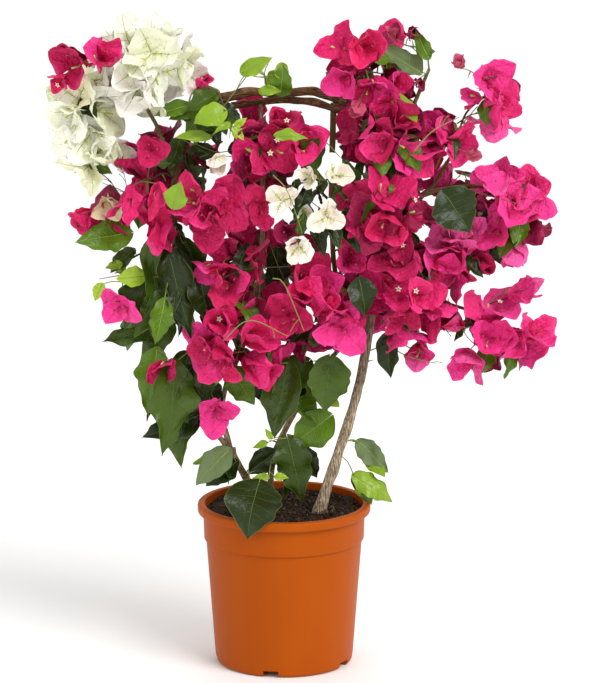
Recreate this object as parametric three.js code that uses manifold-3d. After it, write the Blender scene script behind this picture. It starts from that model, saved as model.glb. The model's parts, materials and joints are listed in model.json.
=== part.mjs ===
// Bougainvillea bush in a round nursery pot.
//
// Two woody plants share the pot. Their stems rise from two crowns in the soil, spread
// into an open fan and close it at the top with a pair of stems laid over each other
// like the lintel of an arch. Masses of bracts and leaves hang on the fan, front and back.
//
// Millimetres, +Z up, +X to the right, -Y towards the front.
// The origin is the centre of the pot's underside.

import * as THREE from "three";
import { mergeVertices } from "three/addons/utils/BufferGeometryUtils.js";
import Module from "manifold-3d";

const wasm = await Module();
wasm.setup();

// ---- Driving dimensions ----------------------------------------------------------

const GAP = 0.3; // clearance between neighbouring solids

const POT = {
  height: 160,
  lipRadius: 85, // outside of the rolled lip
  lipHeight: 10,
  collarRadius: 79.5, // wall just under the lip
  collarFoot: 124, // height of the step under the collar
  stepDepth: 1.8,
  footRadius: 67.5,
  footRounding: 4,
  wall: 1.8,
  floor: 2.5,
};

const CHANNEL = {
  count: 5, // drain channels under the floor, each opening as a notch in the foot
  firstAngle: 187, // degrees round +Z from +X
  width: 17,
  height: 6.5,
  innerRadius: 40,
  holeRadius: 4,
  holeAt: 50,
};

const SOIL_TOP = 154;
const ROUND_SIDES = 36; // facets round the pot

const LIMB_SIDES = { thick: 8, thin: 6, thickFrom: 4.5 }; // facets round a limb, by its radius
const LIMB_STEP = 30; // length of one ring-to-ring stretch
const FLARE = { extra: 0.35, reach: 14 }; // a trunk's foot is this much wider, fading upwards

const LUMP = { depth: 0.17, waves: 5 }; // how far a mass's surface swells and dips
const BIG_MASS = 50; // a mass with a half-size over this gets the finer mesh

// Each limb: radius at its start and end, and the few points its centre line runs through.
const LIMBS = {
  trunk_right: {
    radii: [6.8, 3.2],
    flared: true,
    route: [
      [34, -20, 150], [45, -17, 190], [60, -12, 232], [74, -6, 282],
      [85, 0, 345], [97, 0, 421], [110, 0, 500],
    ],
  },
  trunk_left: {
    radii: [4.9, 4.2],
    flared: true,
    route: [[-24, 28, 150], [-37, 20, 178], [-51, 12, 206]],
  },
  trunk_middle: {
    radii: [3.3, 2.2],
    flared: true,
    route: [[-13, 33, 150], [-13, 28, 186], [-5, 18, 217], [14, 8, 254], [35, 4, 291], [57, 2, 316]],
  },
  left_outer_bough: {
    radii: [3.6, 3.0],
    route: [[-51, 12, 206], [-68, 8, 229], [-75, 4, 267], [-82, 2, 312], [-97, 0, 372]],
  },
  left_inner_bough: {
    radii: [3.8, 2.8],
    route: [
      [-51, 12, 206], [-59, 6, 234], [-60, 2, 268], [-42, 0, 310],
      [-24, 0, 380], [-20, 2, 460], [-22, 5, 549],
    ],
  },
  left_upper_bough: {
    radii: [3.4, 4.4],
    route: [[-98, 0, 376], [-106, 0, 425], [-106, 0, 470], [-94, 0, 518], [-58, -1, 560]],
  },
  arch_top_stem: {
    radii: [4.6, 3.8],
    route: [[-58, -1, 560], [-28, -5, 567], [6, -2, 565], [32, 1, 566], [56, 2, 556]],
  },
  arch_under_stem: {
    radii: [3.8, 3.4],
    route: [[-46, 6, 552], [-20, 11, 555], [8, 8, 557], [33, -8, 556], [54, -7, 548]],
  },
  middle_upright: {
    radii: [2.2, 3.2],
    route: [[57, 2, 316], [58, 1, 342], [50, 0, 385], [46, 0, 450], [48, 0, 552]],
  },
  white_bough: {
    radii: [2.6, 1.6],
    route: [[-104, 0, 484], [-119, -4, 528], [-136, -8, 560]],
  },
  right_top_bough: {
    radii: [2.8, 1.6],
    route: [[110, 0, 498], [122, -1, 545], [138, -2, 585]],
  },
  right_middle_bough: {
    radii: [2.4, 1.7],
    route: [[101, 0, 441], [132, -4, 461], [150, -8, 484], [160, -10, 504]],
  },
  right_far_bough: {
    radii: [1.9, 1.3],
    route: [[139, -5, 467], [168, -7, 476], [200, -8, 474]],
  },
  right_low_bough: {
    radii: [2.4, 1.4],
    route: [[91, 0, 382], [140, -6, 366], [186, -10, 352]],
  },
};

// Each mass of bracts or leaves: what it mostly shows, its middle and its half-sizes.
// The masses at the back, with a middle behind the fan, fill the crown from behind.
const MASSES = {
  white_top: { tone: "white", at: [-127, -18, 592], size: [48, 40, 43] },
  white_left: { tone: "white", at: [-184, -25, 557], size: [39, 34, 32] },
  white_low: { tone: "white", at: [-182, -20, 505], size: [30, 30, 27] },
  magenta_tip_left: { tone: "magenta", at: [-184, -58, 606], size: [31, 17, 25] },
  magenta_left: { tone: "magenta", at: [-180, -18, 450], size: [31, 26, 27] },
  magenta_hanging_left: { tone: "magenta", at: [-128, -38, 482], size: [24, 30, 52] },
  leaves_top_left: { tone: "green", at: [-74, -14, 545], size: [42, 34, 30] },
  leaves_top: { tone: "green", at: [-14, -6, 584], size: [30, 20, 15] },
  leaves_column_left: { tone: "green", at: [-110, -24, 376], size: [29, 32, 56] },
  twig_tip_left: { tone: "green", at: [-155, -18, 378], size: [27, 20, 38] },
  leaves_point_left: { tone: "green", at: [-146, 4, 326], size: [32, 18, 15] },
  leaves_drop_left: { tone: "green", at: [-103, -14, 264], size: [30, 28, 54] },
  magenta_big_left: { tone: "magenta", at: [-68, -62, 468], size: [42, 34, 33] },
  magenta_upper_middle: { tone: "magenta", at: [-12, -38, 520], size: [48, 32, 34] },
  blush_middle: { tone: "white", at: [25, -68, 463], size: [37, 28, 52] },
  magenta_middle: { tone: "magenta", at: [-44, -32, 404], size: [36, 30, 30] },
  magenta_low_left: { tone: "magenta", at: [-40, -42, 333], size: [45, 38, 42] },
  magenta_low_middle: { tone: "magenta", at: [32, -40, 356], size: [44, 38, 46] },
  magenta_top_right: { tone: "magenta", at: [78, -26, 588], size: [42, 34, 43] },
  magenta_right_upper: { tone: "magenta", at: [101, -40, 526], size: [46, 36, 42] },
  magenta_right_middle: { tone: "magenta", at: [96, -52, 456], size: [46, 38, 38] },
  magenta_right_low: { tone: "magenta", at: [116, -40, 382], size: [42, 36, 52] },
  magenta_far_top: { tone: "magenta", at: [195, -20, 566], size: [30, 27, 36] },
  magenta_far_upper: { tone: "magenta", at: [162, -18, 520], size: [25, 25, 25] },
  magenta_far_right: { tone: "magenta", at: [222, -12, 452], size: [42, 32, 46] },
  magenta_middle_right: { tone: "magenta", at: [168, -28, 410], size: [32, 28, 44] },
  magenta_low_right: { tone: "magenta", at: [198, -18, 326], size: [58, 32, 36] },
  magenta_single_right: { tone: "magenta", at: [241, -12, 374], size: [21, 17, 18] },
  magenta_small_right: { tone: "magenta", at: [136, -16, 315], size: [20, 16, 18] },
  tip_top_right: { tone: "magenta", at: [122, -8, 612], size: [28, 18, 23] },
  leaves_low_middle: { tone: "green", at: [16, -18, 274], size: [50, 24, 32] },
  leaves_foot_middle: { tone: "green", at: [6, -4, 196], size: [17, 16, 31] },
  leaf_over_lip: { tone: "green", at: [-33, -42, 174], size: [29, 40, 10] },
  leaves_foot_left: { tone: "green", at: [-68, 0, 192], size: [22, 18, 20] },
  leaves_foot_right: { tone: "green", at: [84, 6, 196], size: [20, 20, 27] },
  back_white: { tone: "white", at: [-133, 40, 582], size: [48, 34, 40] },
  back_left: { tone: "magenta", at: [-108, 40, 484], size: [44, 34, 52] },
  back_middle: { tone: "magenta", at: [-22, 40, 490], size: [44, 32, 54] },
  back_low_middle: { tone: "magenta", at: [-10, 42, 376], size: [56, 34, 56] },
  back_top_right: { tone: "magenta", at: [86, 38, 580], size: [46, 34, 42] },
  back_right: { tone: "magenta", at: [96, 44, 480], size: [48, 38, 54] },
  back_low_right: { tone: "magenta", at: [104, 42, 368], size: [46, 36, 50] },
  back_far_right: { tone: "magenta", at: [178, 30, 440], size: [50, 30, 52] },
};

const FINISHES = {
  pot: { color: 0xbd5a14, roughness: 0.55, metalness: 0 },
  soil: { color: 0x2a1c12, roughness: 0.95, metalness: 0 },
  bark: { color: 0x6d5237, roughness: 0.85, metalness: 0 },
  magenta: { color: 0xc9145f, roughness: 0.6, metalness: 0 },
  white: { color: 0xe9edcf, roughness: 0.6, metalness: 0 },
  green: { color: 0x3a5a22, roughness: 0.5, metalness: 0 },
};

// ---- Small helpers ---------------------------------------------------------------

const radians = THREE.MathUtils.degToRad;

// Repeatable random numbers from 0 to 1.
function randomStream(seed) {
  let state = seed >>> 0;
  return () => {
    state = (state + 0x6d2b79f5) >>> 0;
    let mixed = Math.imul(state ^ (state >>> 15), 1 | state);
    mixed = (mixed + Math.imul(mixed ^ (mixed >>> 7), 61 | mixed)) ^ mixed;
    return ((mixed ^ (mixed >>> 14)) >>> 0) / 4294967296;
  };
}

// A closed three.js geometry as a manifold-3d solid.
function toSolid(geometry) {
  const bare = geometry.clone();
  bare.deleteAttribute("normal");
  bare.deleteAttribute("uv");
  const merged = mergeVertices(bare, 1e-4);
  return new wasm.Manifold(
    new wasm.Mesh({
      numProp: 3,
      vertProperties: new Float32Array(merged.attributes.position.array),
      triVerts: new Uint32Array(merged.index.array),
    }),
  );
}

// A manifold-3d solid as a three.js geometry.
function toGeometry(solid) {
  const mesh = solid.getMesh();
  const geometry = new THREE.BufferGeometry();
  geometry.setAttribute("position", new THREE.BufferAttribute(mesh.vertProperties, 3));
  geometry.setIndex(new THREE.BufferAttribute(mesh.triVerts, 1));
  geometry.computeVertexNormals();
  return geometry;
}

// The biggest separate body of a solid, for a mass that a limb has cut a crumb from.
function biggestBody(solid) {
  const bodies = solid.decompose();
  return bodies.reduce((best, body) => (body.volume() > best.volume() ? body : best));
}

// A round solid from [radius, height] points that start and end on the axis, listed upwards.
function turned(profile) {
  const points = profile.map(([radius, height]) => new THREE.Vector2(radius, height));
  const geometry = new THREE.LatheGeometry(points, ROUND_SIDES);
  geometry.rotateX(Math.PI / 2); // the lathe turns round +Y, the pot round +Z
  return toSolid(geometry);
}

// ---- Pot and soil ----------------------------------------------------------------

// The wall's outside radius below the collar, at a height.
function wallRadius(height) {
  const topRadius = POT.collarRadius - POT.stepDepth - 1;
  return THREE.MathUtils.mapLinear(height, 0, POT.collarFoot, POT.footRadius, topRadius);
}

// The inside of the pot, drawn in by a clearance and closed at a height.
function hollowProfile(clearance, topHeight) {
  const inset = POT.wall + clearance;
  return [
    [0, POT.floor + clearance],
    [wallRadius(POT.floor) - POT.footRounding - inset, POT.floor + clearance],
    [wallRadius(POT.footRounding) - inset, POT.floor + POT.footRounding + clearance],
    [wallRadius(POT.collarFoot) - inset, POT.collarFoot - 1],
    [POT.collarRadius - 1 - inset, POT.collarFoot + 2],
    [POT.collarRadius - inset, topHeight],
    [0, topHeight],
  ];
}

// The five radial bars that become the drain channels, or their roofs when grown by a wall.
function channelBars(grow) {
  const length = POT.lipRadius - CHANNEL.innerRadius + grow;
  const bars = [];
  for (let i = 0; i < CHANNEL.count; i += 1) {
    const bar = new THREE.BoxGeometry(length, CHANNEL.width + 2 * grow, 2 * (CHANNEL.height + grow));
    bar.translate(POT.lipRadius - length / 2, 0, 0);
    bar.rotateZ(radians(CHANNEL.firstAngle + (360 / CHANNEL.count) * i));
    bars.push(toSolid(bar));
  }
  return bars.reduce((all, bar) => all.add(bar));
}

function drainHoles() {
  const holes = [];
  for (let i = 0; i < CHANNEL.count; i += 1) {
    const hole = new THREE.CylinderGeometry(CHANNEL.holeRadius, CHANNEL.holeRadius, 40, 12);
    hole.rotateX(Math.PI / 2);
    hole.translate(CHANNEL.holeAt, 0, 0);
    hole.rotateZ(radians(CHANNEL.firstAngle + (360 / CHANNEL.count) * i));
    holes.push(toSolid(hole));
  }
  return holes.reduce((all, hole) => all.add(hole));
}

function makePot() {
  const lipFoot = POT.height - POT.lipHeight;
  const outside = turned([
    [0, 0],
    [POT.footRadius - POT.footRounding, 0],
    [wallRadius(POT.footRounding), POT.footRounding],
    [wallRadius(POT.collarFoot), POT.collarFoot - 1],
    [POT.collarRadius - 1, POT.collarFoot],
    [POT.collarRadius, lipFoot],
    [POT.lipRadius - 1.6, lipFoot + 2.5],
    [POT.lipRadius, POT.height - 4],
    [POT.lipRadius - 1.2, POT.height - 0.8],
    [POT.lipRadius - 3, POT.height],
    [POT.collarRadius, POT.height],
    [0, POT.height],
  ]);
  const hollow = turned(hollowProfile(0, POT.height + 5));
  return outside
    .subtract(hollow.subtract(channelBars(POT.wall)))
    .subtract(channelBars(0))
    .subtract(drainHoles());
}

function makeSoil() {
  return turned(hollowProfile(GAP, SOIL_TOP)).subtract(channelBars(POT.wall + GAP));
}

// ---- Limbs -----------------------------------------------------------------------

// One tapering limb along its route, wider by `grow` where it is used as a cutter.
function makeLimb({ radii, route, flared = false }, grow = 0) {
  const curve = new THREE.CatmullRomCurve3(route.map((point) => new THREE.Vector3(...point)));
  const length = curve.getLength();
  const steps = Math.max(3, Math.round(length / LIMB_STEP));
  const frames = curve.computeFrenetFrames(steps, false);
  const sides = radii[0] > LIMB_SIDES.thickFrom ? LIMB_SIDES.thick : LIMB_SIDES.thin;
  const positions = [];
  for (let i = 0; i <= steps; i += 1) {
    const share = i / steps;
    const centre = curve.getPointAt(share);
    const swell = flared ? 1 + FLARE.extra * Math.exp((-share * length) / FLARE.reach) : 1;
    const radius = THREE.MathUtils.lerp(radii[0], radii[1], share) * swell + grow;
    for (let k = 0; k < sides; k += 1) {
      const angle = (2 * Math.PI * k) / sides;
      const point = centre
        .clone()
        .addScaledVector(frames.normals[i], Math.cos(angle) * radius)
        .addScaledVector(frames.binormals[i], Math.sin(angle) * radius);
      positions.push(...point.toArray());
    }
  }
  const index = [];
  for (let i = 0; i < steps; i += 1) {
    for (let k = 0; k < sides; k += 1) {
      const a = i * sides + k;
      const b = i * sides + ((k + 1) % sides);
      index.push(a, b, a + sides, b, b + sides, a + sides);
    }
  }
  const last = steps * sides;
  for (let k = 1; k < sides - 1; k += 1) {
    index.push(0, k + 1, k, last, last + k, last + k + 1);
  }
  const geometry = new THREE.BufferGeometry();
  geometry.setAttribute("position", new THREE.Float32BufferAttribute(positions, 3));
  geometry.setIndex(index);
  const solid = toSolid(geometry);
  return solid.trimByPlane([0, 0, 1], SOIL_TOP + GAP - grow); // cut flat where it leaves the soil
}

// Every limb, each one cut back from those before it, so that a bough sits on its parent.
function makeLimbs() {
  const made = {};
  for (const [name, limb] of Object.entries(LIMBS)) {
    let solid = makeLimb(limb);
    for (const earlier of Object.keys(made)) {
      const cutter = makeLimb(LIMBS[earlier], GAP);
      if (solid.intersect(cutter).volume() > 0) solid = biggestBody(solid.subtract(cutter));
    }
    made[name] = solid;
  }
  return made;
}

// ---- Masses ----------------------------------------------------------------------

// A closed, uneven lump: a sphere swollen by a few random waves, then stretched to size.
function makeLump({ at, size }, seed) {
  const random = randomStream(seed);
  const waves = Array.from({ length: LUMP.waves }, () => ({
    towards: new THREE.Vector3(random() - 0.5, random() - 0.5, random() - 0.5).normalize(),
    rate: 3 + 3 * random(),
    phase: 2 * Math.PI * random(),
  }));
  const geometry = new THREE.IcosahedronGeometry(1, Math.max(...size) > BIG_MASS ? 2 : 1);
  const position = geometry.attributes.position;
  const point = new THREE.Vector3();
  for (let i = 0; i < position.count; i += 1) {
    point.fromBufferAttribute(position, i);
    const swell = waves.reduce(
      (sum, wave) => sum + Math.sin(wave.rate * point.dot(wave.towards) + wave.phase),
      0,
    );
    point.multiplyScalar(1 + (LUMP.depth * swell) / Math.sqrt(LUMP.waves));
    position.setXYZ(i, point.x, point.y, point.z);
  }
  geometry.scale(...size);
  geometry.translate(...at);
  return toSolid(geometry);
}

// How far a mass reaches from its middle along a direction.
function reachAlong(size, direction) {
  return 1 / Math.hypot(direction.x / size[0], direction.y / size[1], direction.z / size[2]);
}

// Two masses that meet are parted by one flat cut between their middles.
function partMasses(solids, first, second) {
  if (solids[first].intersect(solids[second]).volume() <= 0) return;
  const from = new THREE.Vector3(...MASSES[first].at);
  const to = new THREE.Vector3(...MASSES[second].at);
  const along = to.clone().sub(from);
  const distance = along.length();
  along.normalize();
  const near = reachAlong(MASSES[first].size, along);
  const far = reachAlong(MASSES[second].size, along);
  const cutAt = from.dot(along) + (distance * near) / (near + far);
  const back = along.clone().negate();
  solids[first] = solids[first].trimByPlane(back.toArray(), -cutAt + GAP / 2);
  solids[second] = solids[second].trimByPlane(along.toArray(), cutAt + GAP / 2);
}

function makeMasses() {
  const names = Object.keys(MASSES);
  const solids = {};
  names.forEach((name, i) => {
    solids[name] = makeLump(MASSES[name], 101 + 17 * i);
  });
  names.forEach((first, i) => {
    names.slice(i + 1).forEach((second) => partMasses(solids, first, second));
  });
  const cutters = Object.values(LIMBS).map((limb) => makeLimb(limb, GAP));
  for (const name of names) {
    for (const cutter of cutters) {
      if (solids[name].intersect(cutter).volume() > 0) {
        solids[name] = biggestBody(solids[name].subtract(cutter));
      }
    }
  }
  return solids;
}

// ---- The whole plant -------------------------------------------------------------

function finish(name) {
  return new THREE.MeshStandardMaterial(FINISHES[name]);
}

function namedMesh(name, solid, finishName) {
  const mesh = new THREE.Mesh(toGeometry(solid), finish(finishName));
  mesh.name = name;
  return mesh;
}

const bush = new THREE.Group();

const container = new THREE.Group();
container.add(namedMesh("pot", makePot(), "pot"));
container.add(namedMesh("soil", makeSoil(), "soil"));
bush.add(container);

const wood = new THREE.Group();
for (const [name, solid] of Object.entries(makeLimbs())) {
  wood.add(namedMesh(name, solid, "bark"));
}
bush.add(wood);

const crown = new THREE.Group();
for (const [name, solid] of Object.entries(makeMasses())) {
  crown.add(namedMesh(name, solid, MASSES[name].tone));
}
bush.add(crown);

export default bush;
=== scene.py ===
# %% [markdown]
# # A bougainvillea in its nursery pot
#
# A bougainvillea is a thorny climber. Its true flowers are slim tubes, and what looks like
# a petal is a bract: a papery coloured leaf, with three of them round each group of tubes.
# Here a magenta plant and a white one share a pot, trained into an open fan.
#
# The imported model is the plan. It holds the pot, the soil, each stem and bough, and one
# closed lump for each mass of bracts or leaves. This lesson grows the plant over that plan:
# everything takes its place from the model, so nothing has to be fitted afterwards.

# %% Load the plan
import json
import math
from collections import defaultdict

import bpy
import numpy as np
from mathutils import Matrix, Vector
from mathutils.bvhtree import BVHTree


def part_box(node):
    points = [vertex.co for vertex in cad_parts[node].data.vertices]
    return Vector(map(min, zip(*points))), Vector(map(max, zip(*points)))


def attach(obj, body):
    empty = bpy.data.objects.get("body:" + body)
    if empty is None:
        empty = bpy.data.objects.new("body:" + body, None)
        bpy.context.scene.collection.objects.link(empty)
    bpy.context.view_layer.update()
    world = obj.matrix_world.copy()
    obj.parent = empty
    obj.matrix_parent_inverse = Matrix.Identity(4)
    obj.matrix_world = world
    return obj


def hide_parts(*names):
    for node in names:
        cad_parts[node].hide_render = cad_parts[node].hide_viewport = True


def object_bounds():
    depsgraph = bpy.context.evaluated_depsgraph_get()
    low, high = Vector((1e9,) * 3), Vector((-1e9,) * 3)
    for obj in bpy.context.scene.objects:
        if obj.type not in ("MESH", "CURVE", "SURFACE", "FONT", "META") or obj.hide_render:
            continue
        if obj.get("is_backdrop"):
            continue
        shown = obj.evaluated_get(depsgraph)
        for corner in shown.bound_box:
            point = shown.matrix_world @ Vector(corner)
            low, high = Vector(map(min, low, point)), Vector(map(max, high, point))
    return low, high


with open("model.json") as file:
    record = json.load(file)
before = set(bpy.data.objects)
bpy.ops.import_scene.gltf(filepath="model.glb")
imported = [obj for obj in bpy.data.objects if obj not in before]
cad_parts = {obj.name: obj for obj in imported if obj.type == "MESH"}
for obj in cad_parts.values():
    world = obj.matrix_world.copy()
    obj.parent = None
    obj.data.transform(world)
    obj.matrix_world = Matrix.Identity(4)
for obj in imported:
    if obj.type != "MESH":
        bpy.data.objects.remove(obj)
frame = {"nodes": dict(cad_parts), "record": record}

MM = 0.001
cad_low, cad_high = (np.array(corner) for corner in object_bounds())
slot_of = {part["node"]: part["material_slot"] for part in frame["record"]["subparts"]}
nodes_in = defaultdict(list)
for node, slot_name in slot_of.items():
    nodes_in[slot_name].append(node)
print("plan, in mm:", np.round(cad_low / MM), "to", np.round(cad_high / MM))
print({slot_name: len(nodes) for slot_name, nodes in nodes_in.items()})

# %% [markdown]
# ## Lines, tubes and grids
#
# Almost all of a plant is either a tube or a blade. Both are grids of points: a tube's grid
# wraps round, and a blade's does not. Keeping the points in arrays makes a thousand bracts
# as easy as one, and much faster than adding them one object at a time.

# %% Grids of points
def unit(vector):
    """The same direction at length 1, for one vector or for rows of them."""
    vector = np.asarray(vector, float)
    return vector / np.maximum(np.linalg.norm(vector, axis=-1, keepdims=True), 1e-9)


def grid_faces(rows, columns, wrap=False):
    """Quads between the rows of a grid of points, joined round where it wraps."""
    row = np.arange(rows - 1)[:, None] * columns
    column = np.arange(columns if wrap else columns - 1)[None]
    right = (column + 1) % columns
    corners = [row + column, row + right, row + columns + right, row + columns + column]
    return np.stack(corners, -1).reshape(-1, 4)


def cap_faces(first, sides, flip=False):
    """Quads that close one ring of a tube, which has an even number of sides."""
    quads = [(first, first + k, first + k + 1, first + k + 2) for k in range(1, sides - 2, 2)]
    return np.array([quad[::-1] if flip else quad for quad in quads])


def closed_faces(rings, sides):
    """Quads over rings of points, with both ends closed."""
    first_end = cap_faces(0, sides, flip=True)
    last_end = cap_faces((rings - 1) * sides, sides)
    return np.vstack([grid_faces(rings, sides, wrap=True), first_end, last_end])


print("a 3 by 3 grid has", len(grid_faces(3, 3)), "faces, and a wrapped one",
      len(grid_faces(3, 3, wrap=True)))

# %% Smooth lines and the tubes along them
ASKEW = [0.31, 0.9, 0.13]  # a direction that no limb or twig follows


def smooth_path(points, step):
    """A Catmull-Rom curve through the points, in stretches of about one step."""
    points = np.asarray(points, float)
    ends = np.vstack([2 * points[0] - points[1], points, 2 * points[-1] - points[-2]])
    stretches = []
    for before, here, there, after in zip(ends, ends[1:], ends[2:], ends[3:]):
        count = max(1, round(float(np.linalg.norm(there - here)) / step))
        t = np.linspace(0, 1, count, endpoint=False)[:, None]
        linear = (there - before) * t
        square = (2 * before - 5 * here + 4 * there - after) * t**2
        cube = (3 * here - before - 3 * there + after) * t**3
        stretches.append(0.5 * (2 * here + linear + square + cube))
    return np.vstack([*stretches, points[-1:]])


def sides_along(path):
    """Two directions square to the path at each point, carried along without a twist."""
    tangents = unit(np.gradient(path, axis=0))
    side = np.cross(tangents[0], ASKEW)
    sides = []
    for tangent in tangents:
        side = unit(side - tangent * side.dot(tangent))
        sides.append(side)
    return np.array(sides), np.cross(tangents, sides)


def tube(path, radii, sides=6):
    """A closed tube along a path, with one radius, one for each point or for each corner."""
    widths = radii if np.ndim(radii) == 2 else np.reshape(radii, (-1, 1))
    widths = np.broadcast_to(widths, (len(path), sides))
    first, second = sides_along(path)
    angle = np.linspace(0, 2 * np.pi, sides, endpoint=False)[None, :, None]
    ring = first[:, None] * np.cos(angle) + second[:, None] * np.sin(angle)
    points = path[:, None] + ring * widths[..., None]
    return points.reshape(-1, 3), closed_faces(len(path), sides)


print("a bent line of 3 points becomes", len(smooth_path([[0, 0, 0], [1, 0, 0], [1, 1, 0]], 0.1)))

# %% Arrays become Blender meshes
def make_piece(name, points, faces, finishes, tints=None):
    """A Blender object from arrays of points and quads, with a finish for each face."""
    mesh = bpy.data.meshes.new(name)
    mesh.vertices.add(len(points))
    mesh.vertices.foreach_set("co", np.asarray(points, np.float32).ravel())
    mesh.loops.add(faces.size)
    mesh.loops.foreach_set("vertex_index", np.asarray(faces, np.int32).ravel())
    mesh.polygons.add(len(faces))
    mesh.polygons.foreach_set("loop_start", np.arange(0, faces.size, 4, dtype=np.int32))
    if tints is not None:
        mesh.polygons.foreach_set("material_index", np.asarray(tints, np.int32))
    mesh.polygons.foreach_set("use_smooth", np.ones(len(faces), bool))
    mesh.update(calc_edges=True)
    for finish in finishes:
        mesh.materials.append(finish)
    piece = bpy.data.objects.new(name, mesh)
    bpy.context.scene.collection.objects.link(piece)
    return piece


def settle(piece, slot_name, *nodes):
    """Ties a finished piece to the plan: it rides on the root, and the parts it stands for are hidden;
    slot_name is not used.
    """
    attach(piece, "root")
    if nodes:
        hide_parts(*nodes)
    print(f"{piece.name}: {2 * len(piece.data.polygons)} triangles")


class Pile:
    """Small things of one kind, kept as arrays until they are joined into a few pieces."""

    most_faces = 95000  # quads, each of which is two triangles

    def __init__(self, name, slot_name, finishes):
        self.name, self.slot_name, self.finishes = name, slot_name, finishes
        self.things = []

    def add(self, points, faces, tint=0):
        """Keeps one thing, with one tint for all its faces or a tint for each."""
        points = np.asarray(points, float).reshape(-1, 3)
        self.things.append((points, np.asarray(faces), np.broadcast_to(tint, len(faces))))

    def join(self):
        """Makes the joined pieces, each one under the limit on faces."""
        groups = [[]]
        faces_held = 0
        for thing in self.things:
            if faces_held + len(thing[1]) > self.most_faces:
                groups.append([])
                faces_held = 0
            groups[-1].append(thing)
            faces_held += len(thing[1])
        pieces = []
        for number, group in enumerate(groups, 1):
            firsts = np.cumsum([0] + [len(points) for points, _, _ in group[:-1]])
            faces = np.vstack([faces + first for (_, faces, _), first in zip(group, firsts)])
            points = np.vstack([points for points, _, _ in group])
            tints = np.concatenate([tint for _, _, tint in group])
            name = f"{self.name}_{number}" if len(groups) > 1 else self.name
            pieces.append(make_piece(name, points, faces, self.finishes, tints))
        return pieces


print("a joined piece holds at most", Pile.most_faces, "quads")

# %% [markdown]
# ## Finishes
#
# Each finish is one Principled shader. On the wood, the pot and the soil, noise drives the
# colour and the relief. The foliage is joined into big pieces, where a pattern would lose
# its place when the model is exported, so each tint there is a plain colour, dealt out
# spray by spray. Only a fine crinkle comes from noise, through the Bump node.

# %% A colour and a shader
def colour(code):
    """A linear colour from a six-digit hex code."""
    parts = [int(code[i:i + 2], 16) / 255 for i in (0, 2, 4)]
    return tuple(((p + 0.055) / 1.055) ** 2.4 if p > 0.04045 else p / 12.92 for p in parts) + (1,)


def new_finish(name, base, roughness, **sockets):
    """A material with one Principled shader; other sockets are given by name."""
    material = bpy.data.materials.new(name)
    material.use_nodes = True
    material.node_tree.nodes.clear()
    shader = material.node_tree.nodes.new("ShaderNodeBsdfPrincipled")
    output = material.node_tree.nodes.new("ShaderNodeOutputMaterial")
    material.node_tree.links.new(shader.outputs[0], output.inputs["Surface"])
    shader.inputs["Base Color"].default_value = colour(base)
    shader.inputs["Roughness"].default_value = roughness
    for socket, value in sockets.items():
        shader.inputs[socket.replace("_", " ")].default_value = value
    return material


def add_noise(material, scale, stretch=(1, 1, 1), detail=4.0):
    """A noise texture on the object's own coordinates, in cycles per metre."""
    tree = material.node_tree
    place = tree.nodes.new("ShaderNodeTexCoord")
    mapping = tree.nodes.new("ShaderNodeMapping")
    mapping.inputs["Scale"].default_value = stretch
    noise = tree.nodes.new("ShaderNodeTexNoise")
    noise.inputs["Scale"].default_value = scale
    noise.inputs["Detail"].default_value = detail
    tree.links.new(place.outputs["Object"], mapping.inputs["Vector"])
    tree.links.new(mapping.outputs["Vector"], noise.inputs["Vector"])
    return noise


def shader_of(material):
    """The material's Principled shader."""
    return next(node for node in material.node_tree.nodes if node.type == "BSDF_PRINCIPLED")


def add_bump(material, noise, depth):
    """Relief from a noise texture, with its depth in metres."""
    tree = material.node_tree
    bump = tree.nodes.new("ShaderNodeBump")
    bump.inputs["Distance"].default_value = depth
    tree.links.new(noise.outputs["Fac"], bump.inputs["Height"])
    tree.links.new(bump.outputs["Normal"], shader_of(material).inputs["Normal"])


def add_shades(material, noise, *stops):
    """Base colour from a noise texture, through a ramp of (place, hex code) stops."""
    tree = material.node_tree
    ramp = tree.nodes.new("ShaderNodeValToRGB")
    marks = ramp.color_ramp.elements
    while len(marks) < len(stops):
        marks.new(0.5)
    for mark, (place, code) in zip(marks, stops):
        mark.position = place
        mark.color = colour(code)
    tree.links.new(noise.outputs["Fac"], ramp.inputs["Fac"])
    tree.links.new(ramp.outputs["Color"], shader_of(material).inputs["Base Color"])


print("magenta in linear light:", np.round(colour("d01568")[:3], 3))

# %% The foliage tints
def foliage_finish(name, base, roughness, crinkle, depth, **sockets):
    """A plain tint with a fine crinkle, so many to the metre and so many metres deep."""
    material = new_finish(name, base, roughness, **sockets)
    add_bump(material, add_noise(material, crinkle), depth)
    return material


def tint_set(name, codes, *habits, **sockets):
    """One foliage finish for each hex code, with the same roughness and crinkle."""
    return [foliage_finish(f"{name}_{i}", code, *habits, **sockets) for i, code in enumerate(codes)]


MAGENTA_TINTS = ["de1e6b", "f02f80", "c61558", "f63e98", "e62468", "980f45", "f858a6", "f0358e"]
WHITE_TINTS = ["fefef2", "fbfce6", "f5f8d4", "fffcf3", "f1e3d4"]
LEAF_TINTS = ["34470b", "41580f", "233009", "55760f", "84a426", "a3c236"]
OLD_TINTS = 3  # the first few are old leaves, and the rest are younger and brighter
PALE_SIDE = "66784a"
PAPERY = {"Sheen_Weight": 0.06, "Sheen_Roughness": 0.4, "Specular_IOR_Level": 0.25}
# Bract zones (heart, face, edge in the finish names): a darker heart, partly throat colour and partly
# painted shade inside the head; the plain face; and a paler edge, painted light through the thin bract.
SHADES = ("heart", "face", "edge")
THROAT_AND_SHADE, FACE, PAINTED_EDGE_LIGHT = range(3)


def shaded(code, other, share):
    """A hex code moved part of the way to another one."""
    pairs = [(int(code[i:i + 2], 16), int(other[i:i + 2], 16)) for i in (0, 2, 4)]
    return "".join(f"{round(one + (two - one) * share):02x}" for one, two in pairs)


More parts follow.
